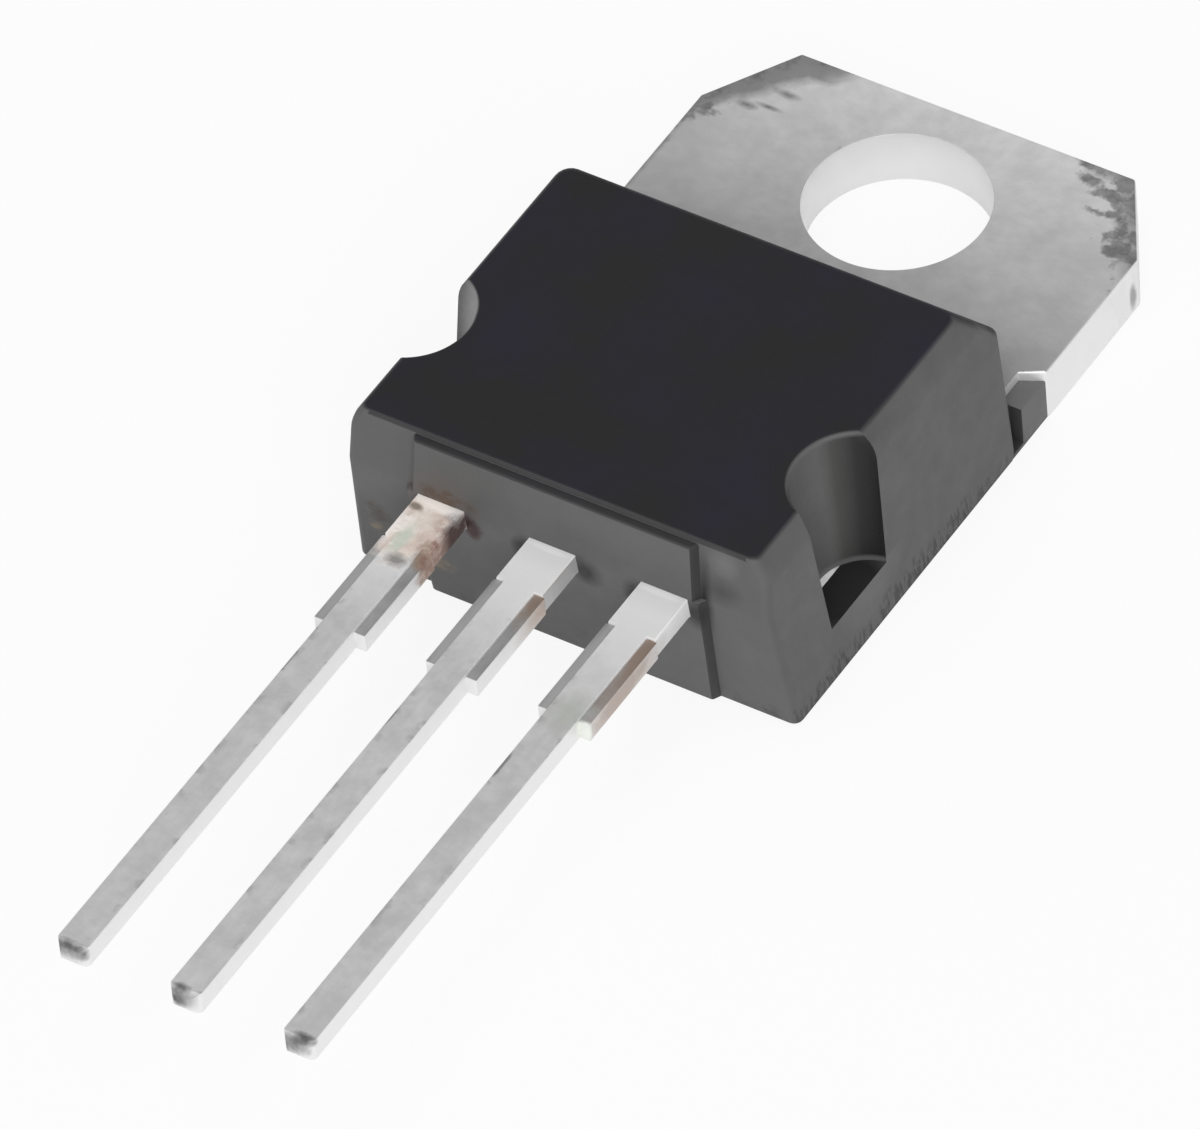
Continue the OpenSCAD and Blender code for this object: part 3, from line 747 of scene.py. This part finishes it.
colour = paint(tree, colour, crust_colour, times(tree, crust, 0.95))
for centre, reach, tone in (
    ((-2.46, -14.52, 3.06), (0.30, 0.24, 0.3), (0.24, 0.23, 0.22)),
    ((-2.02, -14.20, 2.85), (0.34, 0.50, 0.6), (0.29, 0.205, 0.15)),
):
    colour = stain(tree, mm, colour, tone, centre, reach, 0.9, ragged=1.0, grain=3.4, softness=0.6)
rust = patch_at(tree, mm, (-1.97, -13.5, 2.75), (0.22, 1.25, 0.5), ragged=0.9, grain=2.6, softness=0.5)
rust_and_shade_colour = paint(tree, (0.36, 0.24, 0.20), (0.20, 0.075, 0.065), remap(tree, lumps, 0.48, 0.40, 0.0, 0.8))
rust_and_shade_colour = paint(tree, rust_and_shade_colour, (0.56, 0.42, 0.36), remap(tree, lumps, 0.52, 0.60, 0.0, 0.7))
# Painted shade: the rust is darkest next to the body.
rust_and_shade_colour = paint(tree, rust_and_shade_colour, (0.048, 0.020, 0.018), remap(tree, along, -13.72, -13.32))
colour = paint(tree, colour, rust_and_shade_colour, times(tree, rust, 0.95))
bloom, glint = (0.50, 0.53, 0.45), (0.88, 0.90, 0.85)
colour = stain(tree, mm, colour, bloom, (pitch + 0.1, -16.35, lead_top), (0.5, 0.7, 0.3), 0.5, ragged=1.0, grain=2.0,
               softness=0.9)
# A painted glint on the end face of the third lead's right stub.
colour = stain(tree, mm, colour, glint, (pitch + 0.48, shoulder_end, 2.8), (0.25, 0.12, 0.35), ragged=0.5)
tree.links.new(colour, shader.inputs["Base Color"])
spoiled = calculate(tree, "MAXIMUM", crust, rust)
metal = times(tree, remap(tree, spoiled, 0.0, 1.0, 0.6, 0.0), remap(tree, near_body, 0.0, 1.0, 1.0, 0.2))
tree.links.new(metal, shader.inputs["Metallic"])
dull = calculate(tree, "ADD", remap(tree, cloud, 0.0, 1.0, 0.50, 0.42), times(tree, stub, 0.1))
dull = calculate(tree, "ADD", dull, times(tree, spoiled, 0.25), clamp=True)
tree.links.new(dull, shader.inputs["Roughness"])
height = calculate(tree, "ADD", noise(tree, mm, 9.0, 2.0), times(tree, lines, 0.3))
height = calculate(tree, "ADD", height, times(tree, spoiled, lumps, 22.0))
add_bump(tree, shader, height, 0.12, 0.02)
print("lead tin nodes:", len(tree.nodes))

# %% [markdown]
# The resin block is drafted on every side so that it leaves the mould. A block with draft is simply a box with
# planes sawn off: two side walls, a bevel along each long edge of the top, the sloped edge on the tab side, and
# two lead-face planes that meet at the parting line.

# %% Resin body: drafted block
block = box_between((-body_half, recess, 0), (body_half, body_back, body_top))
face_draft, side_draft = radians(6.6), radians(3.9)
bevel_down, bevel_in = 0.45, 0.28
slope_down, slope_in = 1.24, 1.04
for half_of_mould in (1, -1):
    saw(block, (0, recess, lead_top), (0, -cos(face_draft), half_of_mould * sin(face_draft)))
bevel_z = body_top - bevel_down
bevel_x = body_half - bevel_z * tan(side_draft)
for side in (-1, 1):
    saw(block, (side * body_half, 0, 0), (side * cos(side_draft), 0, sin(side_draft)))
    saw(block, (side * bevel_x, 0, bevel_z), (side * bevel_down, 0, bevel_in))
saw(block, (0, body_back, body_top - slope_down), (0, slope_down, slope_in))
print("drafted block:", len(block.faces), "faces")

# %% [markdown]
# The plateau on the lead face could be a second block joined by a Boolean, but its planes would touch the first
# block's planes, which a Boolean dislikes. So its outline is scored on the lead face and the faces inside it are
# pushed out. The upper half of the mould is a little narrower. Then the plateau's side points are drawn in, more at
# the front than at the foot, because worn mould edges slant. Last, the scored lines that still lie in a flat face
# are dissolved, because a bevel that meets such a line stops short there and leaves a dark sliver.

# %% Resin body: raised plateau
plateau_top, plateau_high = body_top - 0.12, recess - lead_face
lower_half, upper_half = 3.42, 3.28
side_lean, worn_share = radians(2.3), 0.55
for half in (lower_half, upper_half):
    for side in (-1, 1):
        saw(block, (side * half, 0, 0), (1, 0, 0), keep=True)
saw(block, (0, 0, plateau_top), (0, 0, 1), keep=True)
block.normal_update()


def on_plateau(centre):
    """The scored field, which is wider below the parting line than above it."""
    return centre.z < plateau_top and abs(centre.x) < (lower_half if centre.z < lead_top else upper_half)


field = [face for face in block.faces if face.normal.y < -0.9 and on_plateau(face.calc_center_median())]
raised = push_faces(block, field, (0, -plateau_high, 0))
crown = {vert for face in raised for vert in face.verts}
for vert in block.verts:
    if vert.co.y < recess + 0.45 and 3.2 < abs(vert.co.x) < 3.5 and vert.co.z < plateau_top + 0.01:
        draw_in = tan(side_lean) * abs(vert.co.z - lead_top) + (worn_share * plateau_high if vert in crown else 0)
        vert.co.x *= 1 - draw_in / abs(vert.co.x)
never_flat = 9
spare = [edge for edge in block.edges if edge.calc_face_angle(never_flat) < radians(0.1)]
bmesh.ops.dissolve_edges(block, edges=spare, use_verts=True)
print(f"plateau: {len(field)} faces pushed out by {plateau_high:.2f} mm, {len(spare)} scored lines dissolved")

# %% [markdown]
# Moulded edges are never sharp, because the mould's own corners are worn round. The rounding differs from place to
# place: the upright corners at the back are soft, and the edges of the plateau are almost sharp. The bevel operator
# never goes further than the shortest edge beside it allows, so it runs while every face is still large. It runs
# once for each kind of edge, and in an order that lets each run end at a clean corner: first the foot of the bevel,
# then the upright corners, and last the closed loop round the top. The printed width tells whether a rounding came
# out at its full size, which is a little less than one and a half times the radius at a square edge.

# %% Resin body: rounded edges
def upright_at_side(one, other):
    """An edge that climbs the left or right side of the block."""
    return min(abs(one.x), abs(other.x)) > 4.3 and abs(one.x - other.x) < 0.35


def at_back_corner(one, other):
    """The two upright corners on the tab side, up to the top of the slope."""
    return min(one.y, other.y) > body_back - 1.3 and upright_at_side(one, other)


def at_front_corner(one, other):
    """The two upright corners beside the lead face."""
    return max(one.y, other.y) < recess + 0.45 and upright_at_side(one, other)


def along_bevel(one, other):
    """The lower edge of the bevel that runs along each side of the top."""
    return max(abs(one.z - bevel_z), abs(other.z - bevel_z)) < 0.02 and min(abs(one.x), abs(other.x)) > 4.6


def along_top(one, other):
    """The closed loop round the top face."""
    return min(one.z, other.z) > body_top - 0.001


def on_plateau_edge(one, other):
    """The edges of the plateau on the lead face."""
    return max(one.y, other.y) < recess + 0.5 and max(abs(one.x), abs(other.x)) < 3.6 and max(one.z, other.z) > 0.01


def along_bottom(one, other):
    """The closed loop round the back plane."""
    return max(one.z, other.z) < 0.001


for title, radius, test, segments, sharper in (
    ("bevel foot", 0.22, along_bevel, 4, 12),
    ("back corners", 0.28, at_back_corner, 5, 20),
    ("front corners", 0.20, at_front_corner, 4, 20),
    ("top loop", 0.10, along_top, 4, 20),
    ("plateau edges", 0.05, on_plateau_edge, 3, 20),
    ("bottom loop", 0.045, along_bottom, 2, 20),
):
    print(f"{title}, {radius} mm:", round_edges(block, radius, test, segments=segments, sharper_than=sharper))

# %% [markdown]
# The ears are small tongues of resin in the side notches of the tab. Each is one box with the slot between ear and
# wall cut out of it down to a thin web, it stands a little lower than the tab, and its edges are eased before it
# joins the block. Its underside lies a few microns above the back plane, again because a Boolean dislikes shared
# planes.

# %% Resin body: ears
ear_from, ear_to, ear_l, ear_top = 4.40, 5.03, 1.3, tab_t - 0.24
ear_slot, slot_from, web = 0.17, 4.76, 0.12
hair = 0.004
body = block
for side in (-1, 1):
    ear = box_between((side * ear_from, body_back - 0.3, hair), (side * ear_to, body_back + ear_l, ear_top))
    ear = punch(ear, box_between((side * slot_from, body_back - 0.6, web), (side * 6, body_back + ear_slot, 3)))
    width = round_edges(ear, 0.04, lambda a, b: True, segments=2)
    body = punch(body, ear, "UNION")
print("ear edges:", width)

# %% [markdown]
# Two steel pins hold the tab down while the resin is pressed in, and leave a tapered pocket in each side. A pin is a
# turned part, so its profile is spun round an axis like a lathe tool: flat end, tapered wall, and a flare that gives
# the pocket its rounded lip. It reaches a few microns below the tab's surface, because the tab shows at its bottom.

# %% Resin body: clamp-pin pockets
pocket_y, pocket_x, pocket_r, lip = lead_face + 3.1, 5.1, 1.04, 0.10
pocket_floor_z, pocket_taper = tab_t - hair, radians(5.3)
wide = pocket_r + (body_top - lip - pocket_floor_z) * tan(pocket_taper)


def turned_pin(x):
    """A closed pin round an upright axis at x, in the shape of the pocket."""
    profile = [(0, pocket_floor_z), (pocket_r, pocket_floor_z)]
    for degrees in range(0, 91, 18):
        turn = radians(degrees)
        profile.append((wide + lip - lip * cos(turn), body_top - lip + lip * sin(turn)))
    profile += [(wide + lip, body_top + 0.5), (0, body_top + 0.5)]
    pin = bmesh.new()
    verts = [pin.verts.new((radius, 0, z)) for radius, z in profile]
    edges = [pin.edges.new(pair) for pair in zip(verts, verts[1:])]
    bmesh.ops.spin(pin, geom=verts + edges, cent=(0, 0, 0), axis=(0, 0, 1), angle=radians(360), steps=120,
                   use_merge=True, use_duplicate=False)
    bmesh.ops.remove_doubles(pin, verts=pin.verts, dist=1e-4)
    bmesh.ops.translate(pin, vec=(x, pocket_y, 0), verts=pin.verts)
    return pin


for side in (-1, 1):
    body = punch(body, turned_pin(side * pocket_x))
print("with ears and pockets:", len(body.faces), "faces")

# %% [markdown]
# The tab starts as a strip of thick copper. Its two free corners are sawn off, and punches cut the side notches,
# the narrower pad, the screw hole, and the groove and undercuts that the resin grips. The same plate is used
# twice: once as the real piece, and once as a deeper cutter that leaves its own room in the resin.

# %% Tab plate
notch_l, notch_d, notch_slant = 1.1, 0.5, 0.25
pad_step, undercut_half, undercut_h, undercut_step = 0.5, 4.0, 0.38, 1.2
groove_half, groove_in = 0.21, 0.8
far_front, far_side = -20, 7


def beside_pad(half, back, top):
    """Two punches, one on each side, that reach from half a width outwards and from far in front to a back plane."""
    return [box_between((side * half, far_front, -1), (side * far_side, back, top)) for side in (-1, 1)]


def tab_plate(underside=0.0):
    """The tab and the pad under the body, with sharp edges."""
    bm = box_between((-tab_half, pad_front, underside), (tab_half, tab_end, tab_t))
    for side in (-1, 1):
        saw(bm, (side * tab_half, tab_end - corner_l, 0), (side * corner_l, corner_w, 0))
    notches = beside_pad(tab_half - notch_d, body_back + 4, 3)
    steps = beside_pad(pad_half, body_back - pad_step, 3)
    undercuts = beside_pad(undercut_half, body_back - undercut_step, undercut_h)
    for side, notch, step, undercut in zip((-1, 1), notches, steps, undercuts):
        saw(notch, (side * tab_half, body_back + notch_l, 0), (side * -notch_slant, notch_d, 0))
        for tool in (notch, step, undercut):
            bm = punch(bm, tool)
    groove = box_between((-6, -groove_half, -groove_half), (6, groove_half, groove_half))
    bmesh.ops.rotate(groove, cent=(0, 0, 0), matrix=Matrix.Rotation(radians(45), 3, "X"), verts=groove.verts)
    bmesh.ops.translate(groove, vec=(0, body_back - groove_in, tab_t + 0.01), verts=groove.verts)
    return punch(bm, groove)


body = punch(body, tab_plate(underside=-1.0))
print("resin body with room for the tab:", len(body.faces), "faces")

# %% [markdown]
# Some places of the resin get painted shade because of their shape: the corner beside the plateau, the strip
# above its ledge and the slot beside each ear. The mesh knows these places, so each of their faces keeps a number
# for the finish to read. The strip is one long face, so it gets one number from end to end.

# %% Resin body: crevices, and the finished piece
def in_crevice(centre, normal):
    """The right side of the plateau's step, the strip above the ledge, and the slot beside each ear."""
    step = centre.y < recess + 0.42 and 3.1 < centre.x < 3.6 and normal.x > 0.3
    strip = centre.z > body_top - 0.16 and centre.y < recess + 0.2 and abs(centre.x) < 3.3
    slot = centre.z < 1.3 and body_back - 0.02 < centre.y < body_back + ear_slot + 0.02 and abs(centre.x) > 4.5
    return 0.9 if step or slot else 0.7 if strip else 0.0


finish_piece(body, "resin_body", [resin], ["moulded_body"], in_crevice)

# %% [markdown]
# A lead is stamped from thin strip. It starts as a long box of the narrow width. Scored lines mark the root and
# the shoulder, and the side faces between the lines are pushed out with the extrude operator, so the widened
# parts stay one closed skin. The stubs are pushed out of the lower part only and so stand below the top face.

# %% Leads: the strip outside the body
def push_out(bm, side, distance, chosen):
    """Extrudes the faces that look sideways and pass the test, and moves them outwards."""
    bm.normal_update()
    faces = [face for face in bm.faces if face.normal.x * side > 0.9 and chosen(face.calc_center_median())]
    push_faces(bm, faces, (side * distance, 0, 0))


def lead_strip(end_y):
    """A lead along Y, centred on x = 0, from its tip to a plane inside the body."""
    bm = box_between((-lead_half, tip, lead_under), (lead_half, end_y, lead_top))
    for y in (shoulder_end, root_end, lead_face):
        saw(bm, (0, y, 0), (0, 1, 0), keep=True)
    saw(bm, (0, 0, stub_top), (0, 0, 1), keep=True)
    for side in (-1, 1):
        push_out(bm, side, root_half - lead_half,
                 lambda c: c.y > root_end or (c.y > shoulder_end and c.z < stub_top))
        push_out(bm, side, stub_half - root_half, lambda c: shoulder_end < c.y < root_end and c.z < stub_top)
    return bm


def file_tip(bm, radius, corner, outward):
    """Files one edge of the tip round, with four saw cuts that all touch the same arc."""
    heart = Vector(corner) + Vector((0, radius, 0)) - Vector(outward) * radius
    for turn in (18, 36, 54, 72):
        facing = Vector((0, -1, 0)) * cos(radians(turn)) + Vector(outward) * sin(radians(turn))
        saw(bm, heart + facing * radius, facing)


def soften_lead(bm):
    """Takes the edge off everything outside the body, then files the tip round on all four sides."""
    width = round_edges(bm, 0.024, lambda a, b: max(a.y, b.y) < lead_face + 0.001, segments=2)
    for radius, corner, outward in (
        (0.26, (-lead_half, tip, 0), (-1, 0, 0)),
        (0.26, (lead_half, tip, 0), (1, 0, 0)),
        (0.19, (0, tip, lead_top), (0, 0, 1)),
        (0.15, (0, tip, lead_under), (0, 0, -1)),
    ):
        file_tip(bm, radius, corner, outward)
    return width


trial = lead_strip(-11.2)
print("one lead:", soften_lead(trial), "-", len(trial.faces), "faces")
trial.free()

# %% [markdown]
# Inside the resin an outer lead ends in a wide head with a small hole, through which the resin locks it. Nobody
# sees it, but a bond wire of the CAD model lands on it, so it is made plainly at its true place.

# %% Outer leads with their heads
def stub_test(middle):
    """A test that finds the tops of a lead's stubs: outside its narrow strip, below its top, and looking up."""
    def is_stub(centre, normal):
        on_length = shoulder_end - 0.05 < centre.y < root_end + 0.03
        on_top = abs(centre.z - stub_top) < 0.05 and normal.z > 0.6
        return 1.0 if on_length and on_top and abs(centre.x - middle) > lead_half + 0.01 else 0.0
    return is_stub


def round_punch(radius, depth, segments, at=(0, 0, 0)):
    """A round steel punch, upright and closed."""
    bm = bmesh.new()
    bmesh.ops.create_cone(bm, cap_ends=True, segments=segments, radius1=radius, radius2=radius, depth=depth,
                          matrix=Matrix.Translation(at))
    return bm


head_front, head_back, head_half = lead_face + 0.45, lead_face + 1.6, 1.0
lock_r, lock_in = 0.2, 0.3
for name, lead_x in (("input_lead", -pitch), ("output_lead", pitch)):
    lead = lead_strip(head_back)
    saw(lead, (0, head_front, 0), (0, 1, 0), keep=True)
    for side in (-1, 1):
        push_out(lead, side, head_half - root_half, lambda c: c.y > head_front)
    soften_lead(lead)
    lead = punch(lead, round_punch(lock_r, 3, 32, (0, head_front + lock_in, lead_top)))
    bmesh.ops.translate(lead, vec=(lead_x, 0, 0), verts=lead.verts)
    finish_piece(lead, name + "_plated", [lead_tin], [name], stub_test(lead_x))

# %% [markdown]
# The ground lead and the tab are one piece of metal. The thin strip leaves the pad, climbs to the plane of the
# leads in two round bends and comes out of the body. A bend is what the spin operator makes: the end of the strip
# is carried round an axis. Straight flights between the bends are pushed faces. The last one sinks by a few
# microns, so that the strip crosses the pad's faces instead of lying in one plane with them.

# %% Ground lead: two bends down to the pad
jog_r, jog_a, strip_t = 0.35, radians(55), 0.5
rise = lead_under - (tab_t - strip_t)
mid_r = jog_r + strip_t / 2
flight = (rise - 2 * mid_r * (1 - cos(jog_a))) / sin(jog_a)
flat = (pad_front - lead_face - 2 * mid_r * sin(jog_a) - flight * cos(jog_a)) / 2
ground = lead_strip(lead_face + flat)
soften_lead(ground)
ground.normal_update()
cut_y = lead_face + flat - 0.01
end = [face for face in ground.faces if face.normal.y > 0.9 and face.calc_center_median().y > cut_y]


def bend(bm, faces, centre, angle):
    """Carries the end faces round an axis along X and returns the new end."""
    edges = list({edge for face in faces for edge in face.edges})
    verts = list({vert for face in faces for vert in face.verts})
    turned = bmesh.ops.spin(bm, geom=verts + edges + faces, cent=centre, axis=(1, 0, 0), angle=angle, steps=8,
                            use_merge=False, use_duplicate=False)
    return [part for part in turned["geom_last"] if isinstance(part, bmesh.types.BMFace)]


end = bend(ground, end, (0, lead_face + flat, lead_under - jog_r), -jog_a)
end = push_faces(ground, end, (0, flight * cos(jog_a), -flight * sin(jog_a)))
end = bend(ground, end, (0, pad_front - flat, tab_t + jog_r), jog_a)
end = push_faces(ground, end, (0, flat + 0.3, -0.006))
print(f"ground lead: flight {flight:.2f} mm, flats {flat:.2f} mm, {len(ground.faces)} faces")

# %% [markdown]
# Last, the hole is punched and the plate's edges are rounded, a little more on the screw hole's rim than on the
# outline. Then strip and plate become one closed skin. The tab's faces take the tab's tin, and those of the lead
# take the lead's brighter tin, by the place of each face.

# %% Tab with the ground lead
def on_hole(one, other):
    """The two rims of the screw hole."""
    return max(abs(one.xy.length - hole_r), abs(other.xy.length - hole_r)) < 0.01


def on_outline(one, other):
    """The edges of the tab outside the body, and not those round the hole."""
    return min(one.y, other.y) > body_back + 0.05 and max(one.xy.length, other.xy.length) >= hole_r + 0.1


plate = punch(tab_plate(), round_punch(hole_r, 4, 160))
print("hole rim:", round_edges(plate, 0.03, on_hole, segments=2))
print("outline:", round_edges(plate, 0.06, on_outline, segments=3))
tab = punch(plate, ground, "UNION")
finish_piece(tab, "tinned_tab", [tab_tin, lead_tin], ["heat_sink_tab"], stub_test(0),
             choose=lambda c: 1 if c.y < lead_face + 0.2 else 0)

# %% [markdown]
# Chip, solder and wires are sealed in the resin and can't be seen, and their CAD shapes are right. They keep those
# shapes and only get finishes of their own: silicon with a faint blue polish, dull solder, and drawn aluminium.

# %% Finishes for the sealed pieces
def simple_finish(name, dark, light, roughness, metallic, stretch, grain):
    """A mottled finish with a fine grain for a piece that is seldom seen."""
    material, tree, shader, mm = new_finish(name, Metallic=metallic)
    cloud = place(tree, mottle, coordinates=mm, stretch=stretch, contrast=0.2)
    tree.links.new(paint(tree, dark, light, cloud), shader.inputs["Base Color"])
    tree.links.new(remap(tree, cloud, 0.0, 1.0, roughness + 0.08, roughness - 0.05), shader.inputs["Roughness"])
    add_bump(tree, shader, noise(tree, mm, grain, 2.0), 0.2, 0.01)
    return material


silicon = simple_finish("silicon", (0.085, 0.09, 0.105), (0.12, 0.125, 0.15), 0.22, 0.6, (3, 3, 3), 30.0)
solder = simple_finish("solder", (0.42, 0.42, 0.43), (0.58, 0.58, 0.60), 0.45, 1.0, (5, 5, 5), 18.0)
aluminium = simple_finish("drawn_aluminium", (0.78, 0.78, 0.79), (0.88, 0.88, 0.89), 0.3, 1.0, (6, 6, 6), 25.0)
for name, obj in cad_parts.items():
    chosen = {"regulator_die": silicon, "die_attach_solder": solder}.get(name)
    if chosen is None and name.endswith("wire"):
        chosen = aluminium
    if chosen:
        for holder in obj.material_slots:
            holder.material = chosen
        print(f"{name}: {chosen.name}")

# %% [markdown]
# The part lies on a plain white floor. The camera should see plain white behind it, and polished metal should
# mirror the same white, so camera and glossy rays get mostly emission of strength 1. A share of ordinary diffuse
# paint stays in the mix, and this share carries the soft shadow of the leads. Other rays see only the paint, so
# the floor adds no unnatural light.

# %% Floor
floor_mesh = bmesh.new()
floor_half, floor_drop = 1.5, 0.02 * MM
bmesh.ops.create_grid(floor_mesh, x_segments=1, y_segments=1, size=floor_half)
bmesh.ops.translate(floor_mesh, vec=(0, 0, -floor_drop), verts=floor_mesh.verts)
mesh = bpy.data.meshes.new("floor")
floor_mesh.to_mesh(mesh)
floor_mesh.free()
floor = add_object("floor", mesh)
floor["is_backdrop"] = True

white, tree, shader, mm = new_finish(
    "floor_white", Roughness=0.9, Specular_IOR_Level=0.1, Base_Color=(0.86, 0.86, 0.86, 1)
)
glow = tree.nodes.new("ShaderNodeEmission")
glow.inputs["Color"].default_value = (1, 1, 1, 1)
rays = tree.nodes.new("ShaderNodeLightPath")
seen = calculate(tree, "MAXIMUM", rays.outputs["Is Camera Ray"], rays.outputs["Is Glossy Ray"])
seen = calculate(tree, "MAXIMUM", seen, rays.outputs["Is Transmission Ray"])
mixer = tree.nodes.new("ShaderNodeMixShader")
paper_glow = 0.88
tree.links.new(times(tree, seen, paper_glow), mixer.inputs[0])
tree.links.new(shader.outputs["BSDF"], mixer.inputs[1])
tree.links.new(glow.outputs["Emission"], mixer.inputs[2])
tree.links.new(mixer.outputs[0], tree.nodes["Material Output"].inputs["Surface"])
floor.data.materials.append(white)
print(f"floor: {2 * floor_half:.0f} m of white")

# %% [markdown]
# The Standard view transform shows a colour as it is written. The default one would press the whites down to grey,
# which is good for fires and sunsets and wrong for a part on white paper.

# %% View transform
bpy.context.scene.view_settings.view_transform = "Standard"
print("view transform:", bpy.context.scene.view_settings.view_transform)

# %% [markdown]
# Soft studio light is mostly a bright room. The world gives an even grey light from everywhere, and metal faces
# that look up mirror it, which sets the tone of the tab. One wide lamp from the front right opens up the lead face
# and the right side. It is far larger than the part, so its shadows have no edge.

# %% World and lamps
world = bpy.data.worlds.new("studio")
bpy.context.scene.world = world
world.use_nodes = True
tree = world.node_tree
tree.nodes.clear()
room = tree.nodes.new("ShaderNodeBackground")
room.inputs["Color"].default_value = (0.52, 0.52, 0.52, 1)
page = tree.nodes.new("ShaderNodeBackground")
page.inputs["Color"].default_value = (1, 1, 1, 1)
rays = tree.nodes.new("ShaderNodeLightPath")
mixer = tree.nodes.new("ShaderNodeMixShader")
tree.links.new(rays.outputs["Is Camera Ray"], mixer.inputs[0])
tree.links.new(room.outputs[0], mixer.inputs[1])
tree.links.new(page.outputs[0], mixer.inputs[2])
tree.links.new(mixer.outputs[0], tree.nodes.new("ShaderNodeOutputWorld").inputs["Surface"])


def soft_lamp(name, at, size, watts):
    """A square lamp that looks at the middle of the part."""
    lamp = bpy.data.lights.new(name, "AREA")
    lamp.shape, lamp.size, lamp.energy = "SQUARE", size, watts
    obj, at = add_object(name, lamp), Vector(at)
    obj.matrix_world = Matrix.Translation(at) @ (at - aim).to_track_quat("Z", "Y").to_matrix().to_4x4()
    print(f"{name}: {watts} W at {(at - aim).length:.2f} m")


soft_lamp("front_right_softbox", (0.34, -0.40, 0.30), 0.35, 1.7)
soft_lamp("overhead_softbox", (-0.05, -0.12, 0.75), 0.45, 1.4)

# %% [markdown]
# The dressed part must stay inside the CAD model's box, because rounding and plating change no outer size. The two
# boxes are printed, one under the other.

# %% Sizes, and the end
visual_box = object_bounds()
for title, (low, high) in (("CAD", cad_box), ("dressed", visual_box)):
    print(f"{title}: {[round((b - a) / MM, 3) for a, b in zip(low, high)]} mm")
